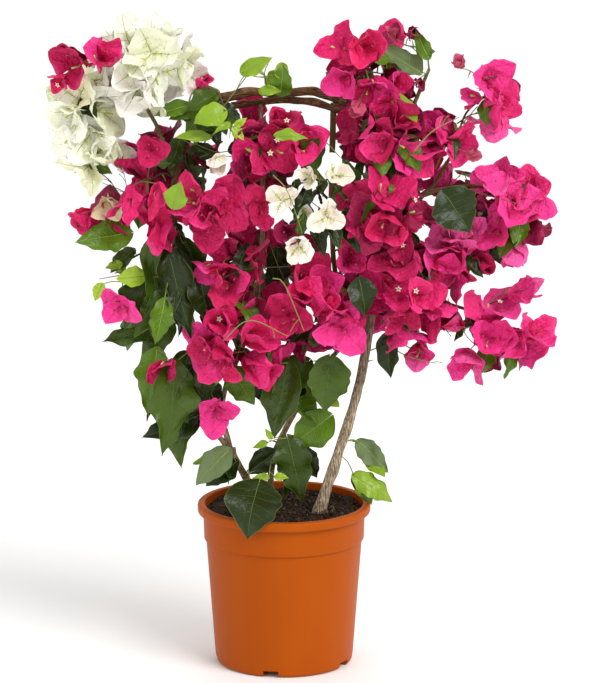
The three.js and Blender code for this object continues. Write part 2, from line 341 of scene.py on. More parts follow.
def bract_finishes(name, tints, heart, edge, relief):
    """Three shades of each tint: round the midrib, partly throat colour and partly painted shade;
    on the face; and at the thin edge, painted light.
    """
    finishes = []
    for i, code in enumerate(tints):
        for shade, tone in zip(SHADES, (shaded(code, *heart), code, shaded(code, *edge))):
            finishes.append(foliage_finish(f"{name}_{i}_{shade}", tone, 0.48, 260, relief, **PAPERY))
    return finishes


# The heart colour darkens the midrib and foot, partly throat colour and partly painted shade; the edge
# colour pales the thin edge as painted light.
magenta_finishes = bract_finishes(
    "magenta_bract", MAGENTA_TINTS, heart=("8a0038", 0.22), edge=("ff7ab8", 0.2), relief=3.6 * MM)
white_finishes = bract_finishes(
    "white_bract", WHITE_TINTS, heart=("ccd58a", 0.22), edge=("ffffff", 0.4), relief=1.3 * MM)
leaf_finishes = tint_set("leaf", LEAF_TINTS, 0.3, 260, 0.8 * MM, Specular_IOR_Level=0.3)
leaf_finishes.append(foliage_finish("leaf_underside", PALE_SIDE, 0.6, 700, 0.3 * MM))
UNDERSIDE = len(LEAF_TINTS)
print(len(magenta_finishes), "magentas,", len(white_finishes), "whites,", len(leaf_finishes), "greens")

# %% [markdown]
# ## The pot
#
# The pot is injection moulded: a thin wall that tapers to a rounded foot, a collar that
# stands out by a small step, and a rolled lip. A profile spun round the axis gives all of
# that. Five drain channels under the floor open as notches in the foot, and those are the
# one thing that is not round, so they are cut out with a boolean.

# %% Sizes of the pot, from its box in the plan
pot_low, pot_high = (np.array(corner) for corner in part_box("pot"))
pot_height = pot_high[2]
lip_radius = (pot_high[0] - pot_low[0]) / 2
foot_radius = 0.794 * lip_radius
collar_radius = lip_radius - 5.5 * MM
collar_foot = 0.775 * pot_height
lip_foot = pot_height - 9.5 * MM
step_depth = 1.8 * MM
wall = 1.8 * MM
floor_top = 9 * MM
CHANNELS = 5
FIRST_CHANNEL = 187  # degrees round from the right
channel = {"half_width": 8.5 * MM, "height": 6.5 * MM, "inner": 40 * MM, "outer": 95 * MM}
drain_hole = {"half_width": 3.5 * MM, "height": 30 * MM, "inner": 46 * MM, "outer": 53 * MM}
print("pot height and lip radius in mm:", round(pot_height / MM, 1), round(lip_radius / MM, 1))

# %% The profile, up the outside and down the inside
def arc(middle, radius, start, end, steps=6):
    """Points on a rounded corner of a profile, between two angles in degrees."""
    angles = np.radians(np.linspace(start, end, steps))
    return [(middle[0] + radius * math.cos(a), middle[1] + radius * math.sin(a)) for a in angles]


def wall_at(height):
    """Outside radius of the tapered wall below the collar."""
    return foot_radius + (collar_radius - step_depth - MM - foot_radius) * height / collar_foot


def straight(start, end, steps):
    """Evenly spaced points on a straight stretch of the profile, without its ends."""
    share = np.linspace(0, 1, steps + 2)[1:-1, None]
    return [tuple(point) for point in np.array(start) + (np.array(end) - start) * share]


foot_round = 4 * MM
crease = collar_foot + 0.4 * MM
profile = [(0.4 * MM, 0), (30 * MM, 0)]
profile += arc((wall_at(0) - foot_round, foot_round), foot_round, -90, 0, 7)
wall_top = collar_foot - 2 * MM
profile += straight((wall_at(foot_round), foot_round), (wall_at(wall_top), wall_top), 24)
profile += [(wall_at(collar_foot - MM), collar_foot - MM), (wall_at(collar_foot) - 0.15 * MM, collar_foot)]
profile += arc((collar_radius - 1.6 * MM, crease + 0.9 * MM), 0.8 * MM, -80, 0, 5)
profile += straight((collar_radius - 0.8 * MM, crease + MM), (collar_radius, lip_foot - MM), 6)
profile += arc((collar_radius + MM, lip_foot - 0.4 * MM), MM, 180, 90, 5)
profile += arc((lip_radius - 2.2 * MM, lip_foot + 2.4 * MM), 2.2 * MM, -70, 0, 5)
profile += arc((lip_radius - 2.6 * MM, pot_height - 2.6 * MM), 2.6 * MM, 0, 90, 7)
profile += arc((collar_radius - wall + 1.4 * MM, pot_height - 1.4 * MM), 1.4 * MM, 90, 180, 5)
profile += [(collar_radius - wall, lip_foot), (collar_radius - MM - wall, collar_foot + 2 * MM)]
profile += [(wall_at(floor_top) - wall, floor_top + 4 * MM), (wall_at(0) - 8 * MM, floor_top)]
profile += [(0.4 * MM, floor_top)]
print(len(profile), "points in the pot's profile")

# %% Spin the profile
def spin(outline, columns):
    """A closed round mesh from a profile of (radius, height) that ends near the axis."""
    outline = np.array(outline)
    angle = np.linspace(0, 2 * np.pi, columns, endpoint=False)
    points = np.empty((len(outline), columns, 3))
    points[..., 0] = outline[:, :1] * np.cos(angle)
    points[..., 1] = outline[:, :1] * np.sin(angle)
    points[..., 2] = outline[:, 1:]
    return points.reshape(-1, 3), closed_faces(len(outline), columns)


def radial_bars(half_width, height, inner, outer):
    """Bars that run outwards, a little narrower at the top, one for each channel."""
    corners = [(-1, -1), (1, -1), (0.88, 1), (-0.88, 1)]
    points, faces = [], []
    for i in range(CHANNELS):
        turn = math.radians(FIRST_CHANNEL + 360 / CHANNELS * i)
        out = np.array([math.cos(turn), math.sin(turn), 0])
        across = np.array([-out[1], out[0], 0])
        first = len(points)
        for reach in (inner, outer):
            for x, z in corners:
                points.append(out * reach + across * x * half_width + np.array([0, 0, z * height]))
        faces += [[first, first + 3, first + 2, first + 1], [first + 4, first + 5, first + 6, first + 7]]
        for k in range(4):
            following = (k + 1) % 4
            faces.append([first + k, first + following, first + 4 + following, first + 4 + k])
    return np.array(points), np.array(faces)


def cut(piece, *cutters):
    """Cuts other objects out of a piece for good, and removes them."""
    for cutter in cutters:
        bite = piece.modifiers.new("cut", "BOOLEAN")
        bite.operation = "DIFFERENCE"
        bite.solver = "EXACT"
        bite.object = cutter
    bpy.context.view_layer.update()
    shaped = piece.evaluated_get(bpy.context.evaluated_depsgraph_get())
    old, piece.data = piece.data, bpy.data.meshes.new_from_object(shaped)
    piece.modifiers.clear()
    bpy.data.meshes.remove(old)
    for cutter in cutters:
        bpy.data.objects.remove(cutter)


POT_COLUMNS = 240
SHARP_ANGLE = 38  # degrees: edges that turn more than this stay crisp
moulded = new_finish("moulded_plastic", "aa4c04", 0.42, Specular_IOR_Level=0.09)
flow_marks = add_noise(moulded, 14, stretch=(1, 1, 0.35), detail=5)
add_shades(moulded, flow_marks, (0.3, "a44803"), (0.55, "aa4c04"), (0.8, "b05107"))
add_bump(moulded, add_noise(moulded, 1500, detail=2), 0.06 * MM)
pot = make_piece("nursery_pot", *spin(profile, POT_COLUMNS), [moulded])
channels = make_piece("channels", *radial_bars(**channel), [])
holes = make_piece("holes", *radial_bars(**drain_hole), [])
cut(pot, channels, holes)
pot.data.shade_smooth()
pot.data.set_sharp_from_angle(angle=math.radians(SHARP_ANGLE))
settle(pot, "pot", "pot")

# %% [markdown]
# ## The compost
#
# The pot is filled to a few millimetres below its lip with dark, fibrous peat and bark. A
# smooth disc would look like chocolate, so the surface gets relief of its own, then loose
# crumbs and short fibres, which catch the light and cast small shadows.

# %% Smooth random relief
def ripple(places, wavelength, rng, waves=7):
    """Random relief, mostly between -1 and 1, that changes over about one wavelength."""
    directions = unit(rng.normal(size=(waves, places.shape[-1])))
    rates = 2 * np.pi / wavelength * rng.uniform(0.7, 1.4, (waves, 1))
    phases = rng.uniform(0, 2 * np.pi, waves)
    return np.sin(places @ (directions * rates).T + phases).sum(-1) / math.sqrt(waves)


soil_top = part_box("soil")[1][2]
soil_radius = collar_radius - MM - wall - 0.3 * MM
soil_rng = np.random.default_rng(11)
soil_profile = [(0.4 * MM, floor_top + 0.3 * MM), (wall_at(0) - 9 * MM, floor_top + 0.3 * MM)]
soil_profile += [(wall_at(floor_top) - wall - 0.4 * MM, floor_top + 5 * MM)]
soil_profile += [(wall_at(collar_foot) - wall - 0.8 * MM, collar_foot), (soil_radius, soil_top - 2 * MM)]
soil_profile += [(radius, soil_top) for radius in np.linspace(soil_radius, 0.4 * MM, 60)]
soil_points, soil_faces = spin(soil_profile, POT_COLUMNS)
on_top = soil_points[:, 2] > soil_top - 0.5 * MM
top_places = soil_points[on_top][:, :2]
relief = 0.9 * ripple(top_places, 34 * MM, soil_rng) + 0.55 * ripple(top_places, 9 * MM, soil_rng)
relief += 0.4 * ripple(top_places, 3.6 * MM, soil_rng, 12)
soil_points[on_top, 2] += (relief - 0.6) * MM
print("compost relief in mm:", np.round([relief.min(), relief.max()], 1))

# %% The compost, its crumbs and fibres
compost = new_finish("compost", "2a1d13", 0.9, Specular_IOR_Level=0.25)
grains = add_noise(compost, 420, detail=6)
add_shades(compost, grains, (0.35, "1b110a"), (0.55, "2f2015"), (0.75, "4a3624"))
add_bump(compost, add_noise(compost, 1300, detail=5), 1.2 * MM)
CRUMBS, FIBRES = 1500, 170
crumb_finishes = [new_finish(f"crumb_{i}", code, 0.9, Specular_IOR_Level=0.2)
                  for i, code in enumerate(["20150d", "33231a", "4b3523", "6b5238"])]


def on_disc(rng):
    """A random place on the compost, clear of the pot."""
    radius = (soil_radius - 3 * MM) * math.sqrt(rng.uniform())
    turn = rng.uniform(0, 2 * np.pi)
    return np.array([radius * math.cos(turn), radius * math.sin(turn), soil_top])


soil = make_piece("compost", soil_points, soil_faces, [compost])
settle(soil, "soil", "soil")
loose = Pile("compost_crumbs", "soil", crumb_finishes)
for _ in range(CRUMBS):
    size = MM * min(2.1, 0.5 + soil_rng.exponential(0.45))
    middle = on_disc(soil_rng) + np.array([0, 0, soil_rng.uniform(-0.5, 0.9) * MM])
    line = middle + np.outer([-1, -0.45, 0.4, 1], unit(soil_rng.normal(size=3)) * size)
    radii = size * np.outer([0.35, 0.95, 0.85, 0.3], np.ones(6)) * soil_rng.uniform(0.7, 1.15, (4, 6))
    loose.add(*tube(line, radii), soil_rng.choice(4, p=[0.4, 0.35, 0.2, 0.05]))
for _ in range(FIBRES):
    start = on_disc(soil_rng) + np.array([0, 0, 0.6 * MM])
    bends = np.cumsum(soil_rng.normal(size=(5, 3)) * [2.6 * MM, 2.6 * MM, 0.5 * MM], axis=0)
    fibre = tube(smooth_path(start + bends, 1.5 * MM), 0.2 * MM, 4)
    loose.add(*fibre, soil_rng.choice([2, 3], p=[0.7, 0.3]))
for piece in loose.join():
    settle(piece, "soil")

# %% [markdown]
# ## Stems and boughs
#
# The plan has each limb as a plain tapering solid. Slicing that solid gives back the line
# down its middle and its width, and a much finer tube is then built on the same line. Old
# bark has long ridges and cracks, so the tube's surface is pushed in and out by random
# relief that is stretched along the limb.

# %% The line down the middle of a limb
ROUNDNESS = 2.9  # a section's area over its radius squared; the plan's sides are flat, so under pi
THINNEST = 0.6 * MM


def slice_middle(triangles, axis, level):
    """The middle of the section that a plane cuts from a solid, and the section's area."""
    side = triangles[:, :, axis] - level
    starts, ends = [], []
    for k in range(3):
        n = (k + 1) % 3
        crossed = (side[:, k] > 0) != (side[:, n] > 0)
        share = np.where(crossed, side[:, k] / np.where(crossed, side[:, k] - side[:, n], 1), np.nan)
        starts.append(triangles[:, k] + (triangles[:, n] - triangles[:, k]) * share[:, None])
        ends.append(crossed)
    points, crossed = np.stack(starts, 1), np.stack(ends, 1)
    edges = points[crossed.sum(1) == 2][crossed[crossed.sum(1) == 2]].reshape(-1, 2, 3)
    lengths = np.linalg.norm(edges[:, 1] - edges[:, 0], axis=1)
    middle = (edges.mean(1) * lengths[:, None]).sum(0) / lengths.sum()
    area = np.linalg.norm(np.cross(edges[:, 0] - middle, edges[:, 1] - middle), axis=1).sum() / 2
    return middle, area


def middle_line(node, slices=20, overlap=3 * MM):
    """Points down the middle of a limb, root first, and the radius at its two ends."""
    mesh = frame["nodes"][node].data
    corners = np.array([vertex.co for vertex in mesh.vertices])
    triangles = corners[np.array([list(face.vertices) for face in mesh.polygons])]
    low, high = corners.min(0), corners.max(0)
    axis = int(np.argmax(high - low))
    levels = np.linspace(low[axis], high[axis], slices + 2)[1:-1]
    found = [slice_middle(triangles, axis, level) for level in levels]
    path = np.array([middle for middle, _ in found])
    tangents = unit(np.gradient(path, axis=0))
    radii = np.sqrt(np.array([area for _, area in found]) * np.abs(tangents[:, axis]) / ROUNDNESS)
    slope, foot = np.polyfit(np.linspace(0, 1, slices), radii, 1)
    beyond = np.linalg.norm(path[1] - path[0]) + overlap
    path = np.vstack([path[0] - tangents[0] * beyond, path, path[-1] + tangents[-1] * beyond])
    return path, (foot, max(foot + slope, THINNEST))


middle_lines = {node: middle_line(node) for node in nodes_in["bark"]}
for node, (path, (foot, tip)) in middle_lines.items():
    print(f"{node}: {len(path)} points, radius {foot / MM:.1f} to {tip / MM:.1f} mm")

# %% Finishes for old and young wood
def bark_finish(name, stretch, *stops):
    """Bark whose colour and fine relief run along the limb."""
    material = new_finish(name, stops[1][1], 0.8, Specular_IOR_Level=0.3)
    add_shades(material, add_noise(material, 900, stretch, 6), *stops)
    add_bump(material, add_noise(material, 1400, stretch, 6), 0.6 * MM)
    return material


UPRIGHT, LEVEL = (1, 1, 0.14), (0.14, 1, 1)
bark_finishes = {
    "grey": bark_finish("grey_bark", UPRIGHT, (0.34, "4f3f30"), (0.5, "917d64"), (0.68, "c8b89e")),
    "striped": bark_finish("striped_bark", UPRIGHT, (0.34, "5a4330"), (0.5, "937a5b"), (0.68, "c0a780")),
    "gnarled": bark_finish("gnarled_bark", LEVEL, (0.32, "3a2415"), (0.52, "6b482d"), (0.72, "a07c56")),
    "young": bark_finish("young_bark", UPRIGHT, (0.3, "57522c"), (0.52, "75693a"), (0.74, "8f8250")),
}
LIMB_STYLES = {
    "trunk_right": "grey", "arch_top_stem": "gnarled", "arch_under_stem": "gnarled",
    "left_upper_bough": "gnarled", "white_bough": "young", "middle_upright": "young",
    "right_top_bough": "young", "right_middle_bough": "young", "right_far_bough": "young",
    "right_low_bough": "young",
}
STYLE_RELIEF = {"grey": 0.085, "striped": 0.09, "gnarled": 0.16, "young": 0.04}
print("limbs by style:", LIMB_STYLES)

# %% Bark over every limb
# Four limbs are drawn slimmer than their solids in the plan, which are stouter for strength.
SLIMMER = {"trunk_right": 0.84, "trunk_left": 0.78, "left_outer_bough": 0.82, "left_inner_bough": 0.8}
FLARE = 0.25  # how much wider a trunk's foot is
SPIRAL = 7  # how far the ridges wind round a limb, in radians to the metre
STRETCH = 0.13  # along the limb, ridges change this much more slowly than round it
RIDGE, SWELLING = 3.1 * MM, 26 * MM


def bark_tube(path, foot, tip, depth, flared, rng):
    """A finely meshed limb with ridges, slow swellings and, on a trunk, a flared foot."""
    line = smooth_path(path, 1.6 * MM)
    along = np.concatenate([[0], np.cumsum(np.linalg.norm(np.diff(line, axis=0), axis=1))])
    share = along / along[-1]
    radius = foot + (tip - foot) * share
    if flared:
        radius = radius * (1 + FLARE * np.exp(-np.maximum(along - 5 * MM, 0) / (9 * MM)))
    sides = 28 if foot > 3 * MM else 16
    angle = np.linspace(0, 2 * np.pi, sides, endpoint=False)
    turned = angle[None] + along[:, None] * SPIRAL
    round_places = np.stack([np.cos(turned) * foot, np.sin(turned) * foot], -1)
    on_axis = np.repeat(along[:, None, None], sides, 1)
    ridges = ripple(np.concatenate([round_places, on_axis * STRETCH], -1), RIDGE, rng, 14)
    swells = ripple(np.concatenate([round_places, on_axis], -1), SWELLING, rng)
    return tube(line, radius[:, None] * (1 + depth * ridges + 0.6 * depth * swells), sides)


bark_rng = np.random.default_rng(23)
for node, (path, (foot, tip)) in middle_lines.items():
    style = LIMB_STYLES.get(node, "striped")
    slim = SLIMMER.get(node, 1)
    flared = node.startswith("trunk")
    points, faces = bark_tube(path, foot * slim, tip * slim, STYLE_RELIEF[style], flared, bark_rng)
    settle(make_piece(f"bark_{node}", points, faces, [bark_finishes[style]]), "bark", node)

# %% [markdown]
# ## Bracts and leaves as blades
#
# A bract and a leaf are built alike: a thin sheet with an outline that swells from the
# stalk and runs out to a tip, folded a little along its midrib, curling along its length
# and waving at its edges. One rule with a few habits gives them all. It turns any place on
# the blade into a point, so the veins can be laid along the same surface later.

# %% A blade from a few habits
class Blade:
    """One bract or leaf along +Y with its face up: a rule from places on it to points."""

    marks = np.linspace(0, 1, 25)
    slant = 0.9  # how far a side vein runs towards the tip on its way out
    fold_rates = [[5, 2], [5, 2], [6, 3], [12, 5], [14, 6]]  # along and across, coarse to fine
    fold_depths = (1, 1, 0.8, 0.4, 0.35)

    def __init__(self, length, width, rng, belly=0.44, tip=0.8, curl=0.4, twist=0.0, fold=0.2,
                 cup=0.0, wave=0.03, heart=0.1, veins=5, relief=0.3 * MM, crumple=0.0, ruffle=0.05):
        """Belly is where it is widest, tip how drawn out it is, and heart how lobed its foot.

        Curl and twist run along it, fold and cup across it, wave and ruffle at its edges;
        crumple dents it all over, and relief corrugates it from the midrib outwards.
        """
        self.length, self.width, self.tip = length, width, tip
        self.root = tip * belly / (1 - belly)
        self.peak = belly**self.root * (1 - belly) ** tip
        self.twist, self.fold, self.cup, self.wave, self.heart = twist, fold, cup, wave, heart
        self.veins, self.relief, self.crumple, self.ruffle = veins, relief, crumple, ruffle
        self.folds = rng.normal(size=(5, 2)) * self.fold_rates
        self.fold_phases = rng.uniform(0, 2 * np.pi, 5)
        self.phases = rng.uniform(0, 2 * np.pi, 3)
        self.rates = rng.uniform(1.3, 2.8, 2)
        self.skew = 0.05 * rng.normal()
        self.angles = curl * self.marks**1.3 + 0.1 * np.sin(6 * self.marks + self.phases[2])
        middles = (self.angles[1:] + self.angles[:-1]) / 2
        step = length / len(middles)
        self.run = np.concatenate([[0], np.cumsum(np.cos(middles) * step)])
        self.rise = np.concatenate([[0], np.cumsum(np.sin(middles) * step)])

    def at(self, t, v, lift=0.0):
        """Points at shares t of the length and v of the half width, on one side or the other."""
        outline = t**self.root * (1 - t) ** self.tip / self.peak
        out = np.abs(v)
        phase = np.where(v > 0, self.phases[0], self.phases[1])
        rate = np.where(v > 0, self.rates[0], self.rates[1])
        edge = 1 + self.ruffle * np.sin(2 * np.pi * 1.9 * rate * t + 1.7 * phase)
        x = v * self.width / 2 * np.maximum(outline, 0.02) * edge
        # Height over the midrib: folded, cupped, waved at the edge, crumpled and corrugated.
        z = lift + self.fold * np.abs(x) + self.cup * x**2 / self.width
        z = z + self.wave * self.length * out**2.2 * outline * np.sin(2 * np.pi * rate * t + phase)
        crumple = self.crumple * self.length * outline
        for depth, (along, across), start in zip(self.fold_depths, self.folds, self.fold_phases):
            z = z + depth * crumple * np.sin(along * t + across * v + start)
        ribs = np.cos(2 * np.pi * (self.veins * t - self.slant * out))
        z = z - self.relief * ribs * out**0.5 * (1 - out**4) * outline
        # The lobes of the foot reach back, and then the whole blade twists and curls.
        back = self.heart * self.width * out**1.5 * (1 - t) ** 5
        turn = self.twist * t
        bend = np.interp(t, self.marks, self.angles)
        x = x + self.skew * self.length * t**2
        x, z = x * np.cos(turn) - z * np.sin(turn), x * np.sin(turn) + z * np.cos(turn)
        y = np.interp(t, self.marks, self.run) - z * np.sin(bend) - back * np.cos(bend)
        z = np.interp(t, self.marks, self.rise) + z * np.cos(bend) - back * np.sin(bend)
        return np.stack([x, y, z], -1)

    def sheet(self, rows, columns, lift=0.0):
        """The whole blade as a grid, with its rows closer together near both ends."""
        t = (0.5 - 0.5 * np.cos(np.pi * np.linspace(0, 1, rows)))[:, None]
        t, v = np.broadcast_arrays(t, np.linspace(-1, 1, columns)[None])
        return self.at(t, v, lift).reshape(-1, 3)

    def vein(self, rank, side, steps, reach, lift=0.0):
        """A side vein, which leaves the midrib and runs outwards and towards the tip."""
        out = np.linspace(0, reach, steps)
        return self.at(np.minimum((rank + self.slant * out) / self.veins, 0.97), side * out, lift)


def place(points, base, along, face):
    """Moves points from a blade's own axes to a base, a direction and a face on the plant."""
    along = unit(along)
    across = unit(np.cross(along, face))
    return np.asarray(base) + points @ np.stack([across, along, np.cross(across, along)])


trial = Blade(36 * MM, 30 * MM, np.random.default_rng(1)).sheet(9, 5)
print("a bract measures, in mm:", np.round(np.ptp(trial, axis=0) / MM, 1))

# %% [markdown]
# ## Heads of bracts
#
# Three bracts stand round each group of flower tubes. Most heads here are fully open, and
# some are still half closed, like a small lantern. The tubes are joined to the bracts'
# midribs, and only a few of them are open at any one time, as small cream stars.

# %% Piles for everything that grows
flower_finishes = tint_set("flower", ["b8405a", "c3c86c", "f4f0cf"], 0.55, 1200, 0.2 * MM)
TUBE_PINK, TUBE_GREEN, STAR = range(3)
vein_tints = ["a3174f", "7d9440", "566f30", "93a94a", "4d6428"]
vein_finishes = tint_set("vein", vein_tints, 0.55, 1200, 0.1 * MM)
VEIN_PINK, VEIN_GREEN, RIB_DARK, RIB_LIGHT, RIB_EDGE = range(5)
dry_finishes = tint_set("dry", ["d8c9a2", "c9a57c", "c4506e", "a6305a"], 0.7, 900, 0.5 * MM)
piles = {
    "magenta": Pile("magenta_bracts", "magenta", magenta_finishes),
    "white": Pile("white_bracts", "white", white_finishes),
    "dry": Pile("dried_bracts_and_buds", "magenta", dry_finishes),
    "leaf": Pile("leaves", "green", leaf_finishes),
    "flower": Pile("flower_tubes", "white", flower_finishes),
    "vein": Pile("bract_veins", "white", vein_finishes),
    "rib": Pile("leaf_ribs", "green", vein_finishes),
}
BRACT_GRID, LEAF_GRID = (19, 13), (25, 11)
faces_of = {grid: grid_faces(*grid) for grid in (BRACT_GRID, LEAF_GRID)}
print("faces in a bract and in a leaf:", len(faces_of[BRACT_GRID]), len(faces_of[LEAF_GRID]))

# %% Ribs and one head
VEIN_RANKS = {"magenta": (0.4, 1.5), "white": (0.25, 1.1, 2.0), "dry": ()}
TUBE_RADII = np.array([0.6, 1.1, 0.95, 0.75, 0.85, 1.0]) * MM


def add_rib(kind, points, spot, start, end, tint):
    """A thin tube along points of a blade; spot is the blade's base, direction and face."""
    line = place(points, *spot)
    piles[kind].add(*tube(line, np.linspace(start, end, len(line)) * MM, 4), tint)


def add_flower(base, axis, radial, length, tint, open_star, rng):
    """A slim flower tube beside a bract's midrib, swollen at its foot, and its star."""
    reach = unit(0.75 * axis + 0.65 * radial)
    path = np.array([base, base + reach * 0.45 * length, base + (reach + axis) * 0.5 * length])
    path[1] += 0.5 * MM * rng.normal(size=3)
    line = smooth_path(path, 0.4 * length)
    radii = np.interp(np.linspace(0, 1, len(line)), np.linspace(0, 1, 6), TUBE_RADII)
    piles["flower"].add(*tube(line, radii), tint)
    if open_star:
        turn = np.linspace(0, 2 * np.pi, 10, endpoint=False)
        side = unit(np.cross(axis, radial))
        other = np.cross(axis, side)
        ring = side * np.cos(turn)[:, None] + other * np.sin(turn)[:, None]
        reach = np.where(np.arange(10) % 2, 1.7, 3.4)[:, None] * MM
        rings = [line[-1] + ring * 0.8 * MM, line[-1] + ring * reach * 0.7 + axis * 0.9 * MM,
                 line[-1] + ring * reach + axis * 0.5 * MM]
        star_faces = np.vstack([grid_faces(3, 10, wrap=True), cap_faces(0, 10)])
        piles["flower"].add(np.concatenate(rings), star_faces, STAR)


def shade_zones(rng):
    """Which shade each face of a bract takes, with wavering borders between them: painted
    light at the edge, and round the midrib and foot partly throat colour, partly painted shade.
    """
    rows, columns = BRACT_GRID[0] - 1, BRACT_GRID[1] - 1
    t = 0.5 - 0.5 * np.cos(np.pi * (np.arange(rows)[:, None] + 0.5) / rows)
    out = np.abs((np.arange(columns)[None] + 0.5) / columns * 2 - 1)
    waver = 0.14 * np.sin(11 * t + 5 * out + rng.uniform(0, 6))
    waver = waver + 0.05 * rng.normal(size=(rows, columns))
    zones = np.full((rows, columns), FACE)
    # Heart: partly throat colour, partly painted shade; edge: painted light.
    zones[out + 0.9 * t + waver < 0.34] = THROAT_AND_SHADE
    zones[out + 0.25 * t + waver > 1.02] = PAINTED_EDGE_LIGHT
    return zones.ravel()


def add_head(base, axis, length, kind, rng, lean, tints, broad=0.94, tip=0.72, stars=0.05):
    """Three bracts round an axis, leaning out from it, with their veins and flower tubes."""
    axis = unit(axis)
    side = unit(np.cross(axis, [0.2, 0.3, 0.93]))
    other = np.cross(axis, side)
    roll = rng.uniform(0, 2 * np.pi)
    tint = rng.choice(tints)
    pale = kind == "white"
    for k in range(3):
        turn = roll + 2 * np.pi / 3 * k + 0.2 * rng.normal()
        radial = side * math.cos(turn) + other * math.sin(turn)
        tilt = math.radians(lean + 11 * rng.normal())
        along = math.cos(tilt) * axis + math.sin(tilt) * radial
        inner = math.sin(tilt) * axis - math.cos(tilt) * radial
        size = length * rng.uniform(0.88, 1.1)
        blade = Blade(size, size * broad * rng.uniform(0.88, 1.08), rng,
                      belly=rng.uniform(0.36, 0.46), tip=tip * rng.uniform(0.85, 1.15),
                      curl=rng.uniform(-0.7, 0.7), twist=0.3 * rng.normal(),
                      fold=rng.uniform(0.0, 0.35), cup=rng.uniform(-0.3, 0.8),
                      wave=rng.uniform(0.03, 0.1), heart=0.2, relief=0.4 * MM,
                      crumple=0.04, ruffle=0.055)
        here = int(tint) if rng.uniform() < 0.7 else int(rng.choice(tints))
        stand = np.asarray(base) + radial * 1.2 * MM
        # Each face takes its zone's shade: painted shade at the heart, painted light at the edge.
        shades = here if kind == "dry" else len(SHADES) * here + shade_zones(rng)
        spot = (stand, along, inner)
        piles[kind].add(place(blade.sheet(*BRACT_GRID), *spot), faces_of[BRACT_GRID], shades)
        vein_tint = VEIN_GREEN if pale else VEIN_PINK
        midrib = blade.at(np.linspace(0, 0.93, 9), np.zeros(9))
        add_rib("vein", midrib, spot, 0.46 if pale else 0.3, 0.12, vein_tint)
        for rank in VEIN_RANKS[kind]:
            for way in (-1, 1):
                add_rib("vein", blade.vein(rank, way, 5, 0.82), spot, 0.17, 0.06, vein_tint)
        tube_tint = TUBE_GREEN if pale or rng.uniform() < 0.12 else TUBE_PINK
        foot = stand + along * 2 * MM
        add_flower(foot, axis, radial, length * 0.44, tube_tint, rng.uniform() < stars, rng)


print("side veins on a bract:", {kind: 2 * len(ranks) for kind, ranks in VEIN_RANKS.items()})

# %% [markdown]
# ## Leaves
#
# Old leaves hang, dark and long, with wavy edges and a drawn-out tip. Young ones near the
# tops are small, rounder and almost lime. Each leaf has a stalk and a raised pale rib. A
# large leaf also has its side veins and margin, and a second sheet for its duller underside.

# %% Leaf habits and one leaf
LEAF_STYLES = {
    "drooping": {"ratio": 0.42, "belly": 0.34, "tip": 1.4, "wave": 0.1, "curl": (-0.9, 0.1),
                 "tints": (0, 1, 2, 2), "droop": -1.5},
    "mature": {"ratio": 0.58, "belly": 0.36, "tip": 1.2, "wave": 0.06, "curl": (-0.8, 0.2),
               "tints": (0, 1, 2, 3), "droop": -0.6},
    "young": {"ratio": 0.62, "belly": 0.42, "tip": 0.85, "wave": 0.02, "curl": (-0.6, 0.2),
              "tints": (3, 4, 5, 4), "droop": 0.2},
}
LARGE_LEAF = 38 * MM
LEAF_VEIN_RANKS = (0.6, 1.5, 2.4, 3.3)


def add_leaf(base, along, face, length, style, rng, tint=None, ratio=None, curl=None):
    """A leaf on the plant: blade, underside, midrib and side veins."""
    habit = LEAF_STYLES[style]
    width = length * (ratio or habit["ratio"] * rng.uniform(0.88, 1.12))
    bend = rng.uniform(*habit["curl"]) if curl is None else curl
    blade = Blade(length, width, rng, belly=habit["belly"], tip=habit["tip"], curl=bend,
                  twist=rng.normal() * 0.3, fold=rng.uniform(0.1, 0.4), cup=rng.uniform(-0.3, 0.2),
                  wave=habit["wave"] * rng.uniform(0.6, 1.5), heart=0.12, veins=6, relief=0.5 * MM,
                  crumple=0.024, ruffle=0.9 * habit["wave"])
    tint = int(rng.choice(habit["tints"])) if tint is None else tint
    spot = (base, along, face)
    piles["leaf"].add(place(blade.sheet(*LEAF_GRID), *spot), faces_of[LEAF_GRID], tint)
    rib_tint = RIB_DARK if tint < OLD_TINTS else RIB_LIGHT
    if length > LARGE_LEAF:
        under = place(blade.sheet(*LEAF_GRID, lift=-0.4 * MM), *spot)
        piles["leaf"].add(under, faces_of[LEAF_GRID][:, [0, 3, 2, 1]], UNDERSIDE)
        for rank in LEAF_VEIN_RANKS:
            for way in (-1, 1):
                add_rib("rib", blade.vein(rank, way, 7, 0.85, 0.25 * MM), spot, 0.17, 0.06, rib_tint)
        for way in (-1, 1):
            margin = blade.at(np.linspace(0.03, 0.96, 24), np.full(24, float(way)))
            add_rib("rib", margin, spot, 0.3, 0.3, RIB_EDGE)
    midrib = blade.at(np.linspace(0, 0.95, 10), np.zeros(10), 0.15 * MM)
    add_rib("rib", midrib, spot, 0.5, 0.12, rib_tint)


print("leaf styles:", list(LEAF_STYLES))

# %% [markdown]
# ## Where heads and leaves go
#
# A mass says how far its bracts or leaves reach in every direction. Places for them are
# spread out inside it one at a time: several are tried, and the one with the most room
# round it is kept. Each head then looks outwards, as each one does on the plant, which
# grows towards the light.

# %% Room inside a mass
PROUD = 7 * MM  # how far a bract or leaf may stand out of the plan's box
taken = [np.zeros(3)]
edge_low, edge_high = cad_low - PROUD, cad_high + PROUD


def pull_in(points):
    """The shift that brings points back inside the plan's box, with its small allowance."""
    up = np.maximum(edge_low - points.min(0), 0)
    down = np.minimum(edge_high - points.max(0), 0)
    return up + down


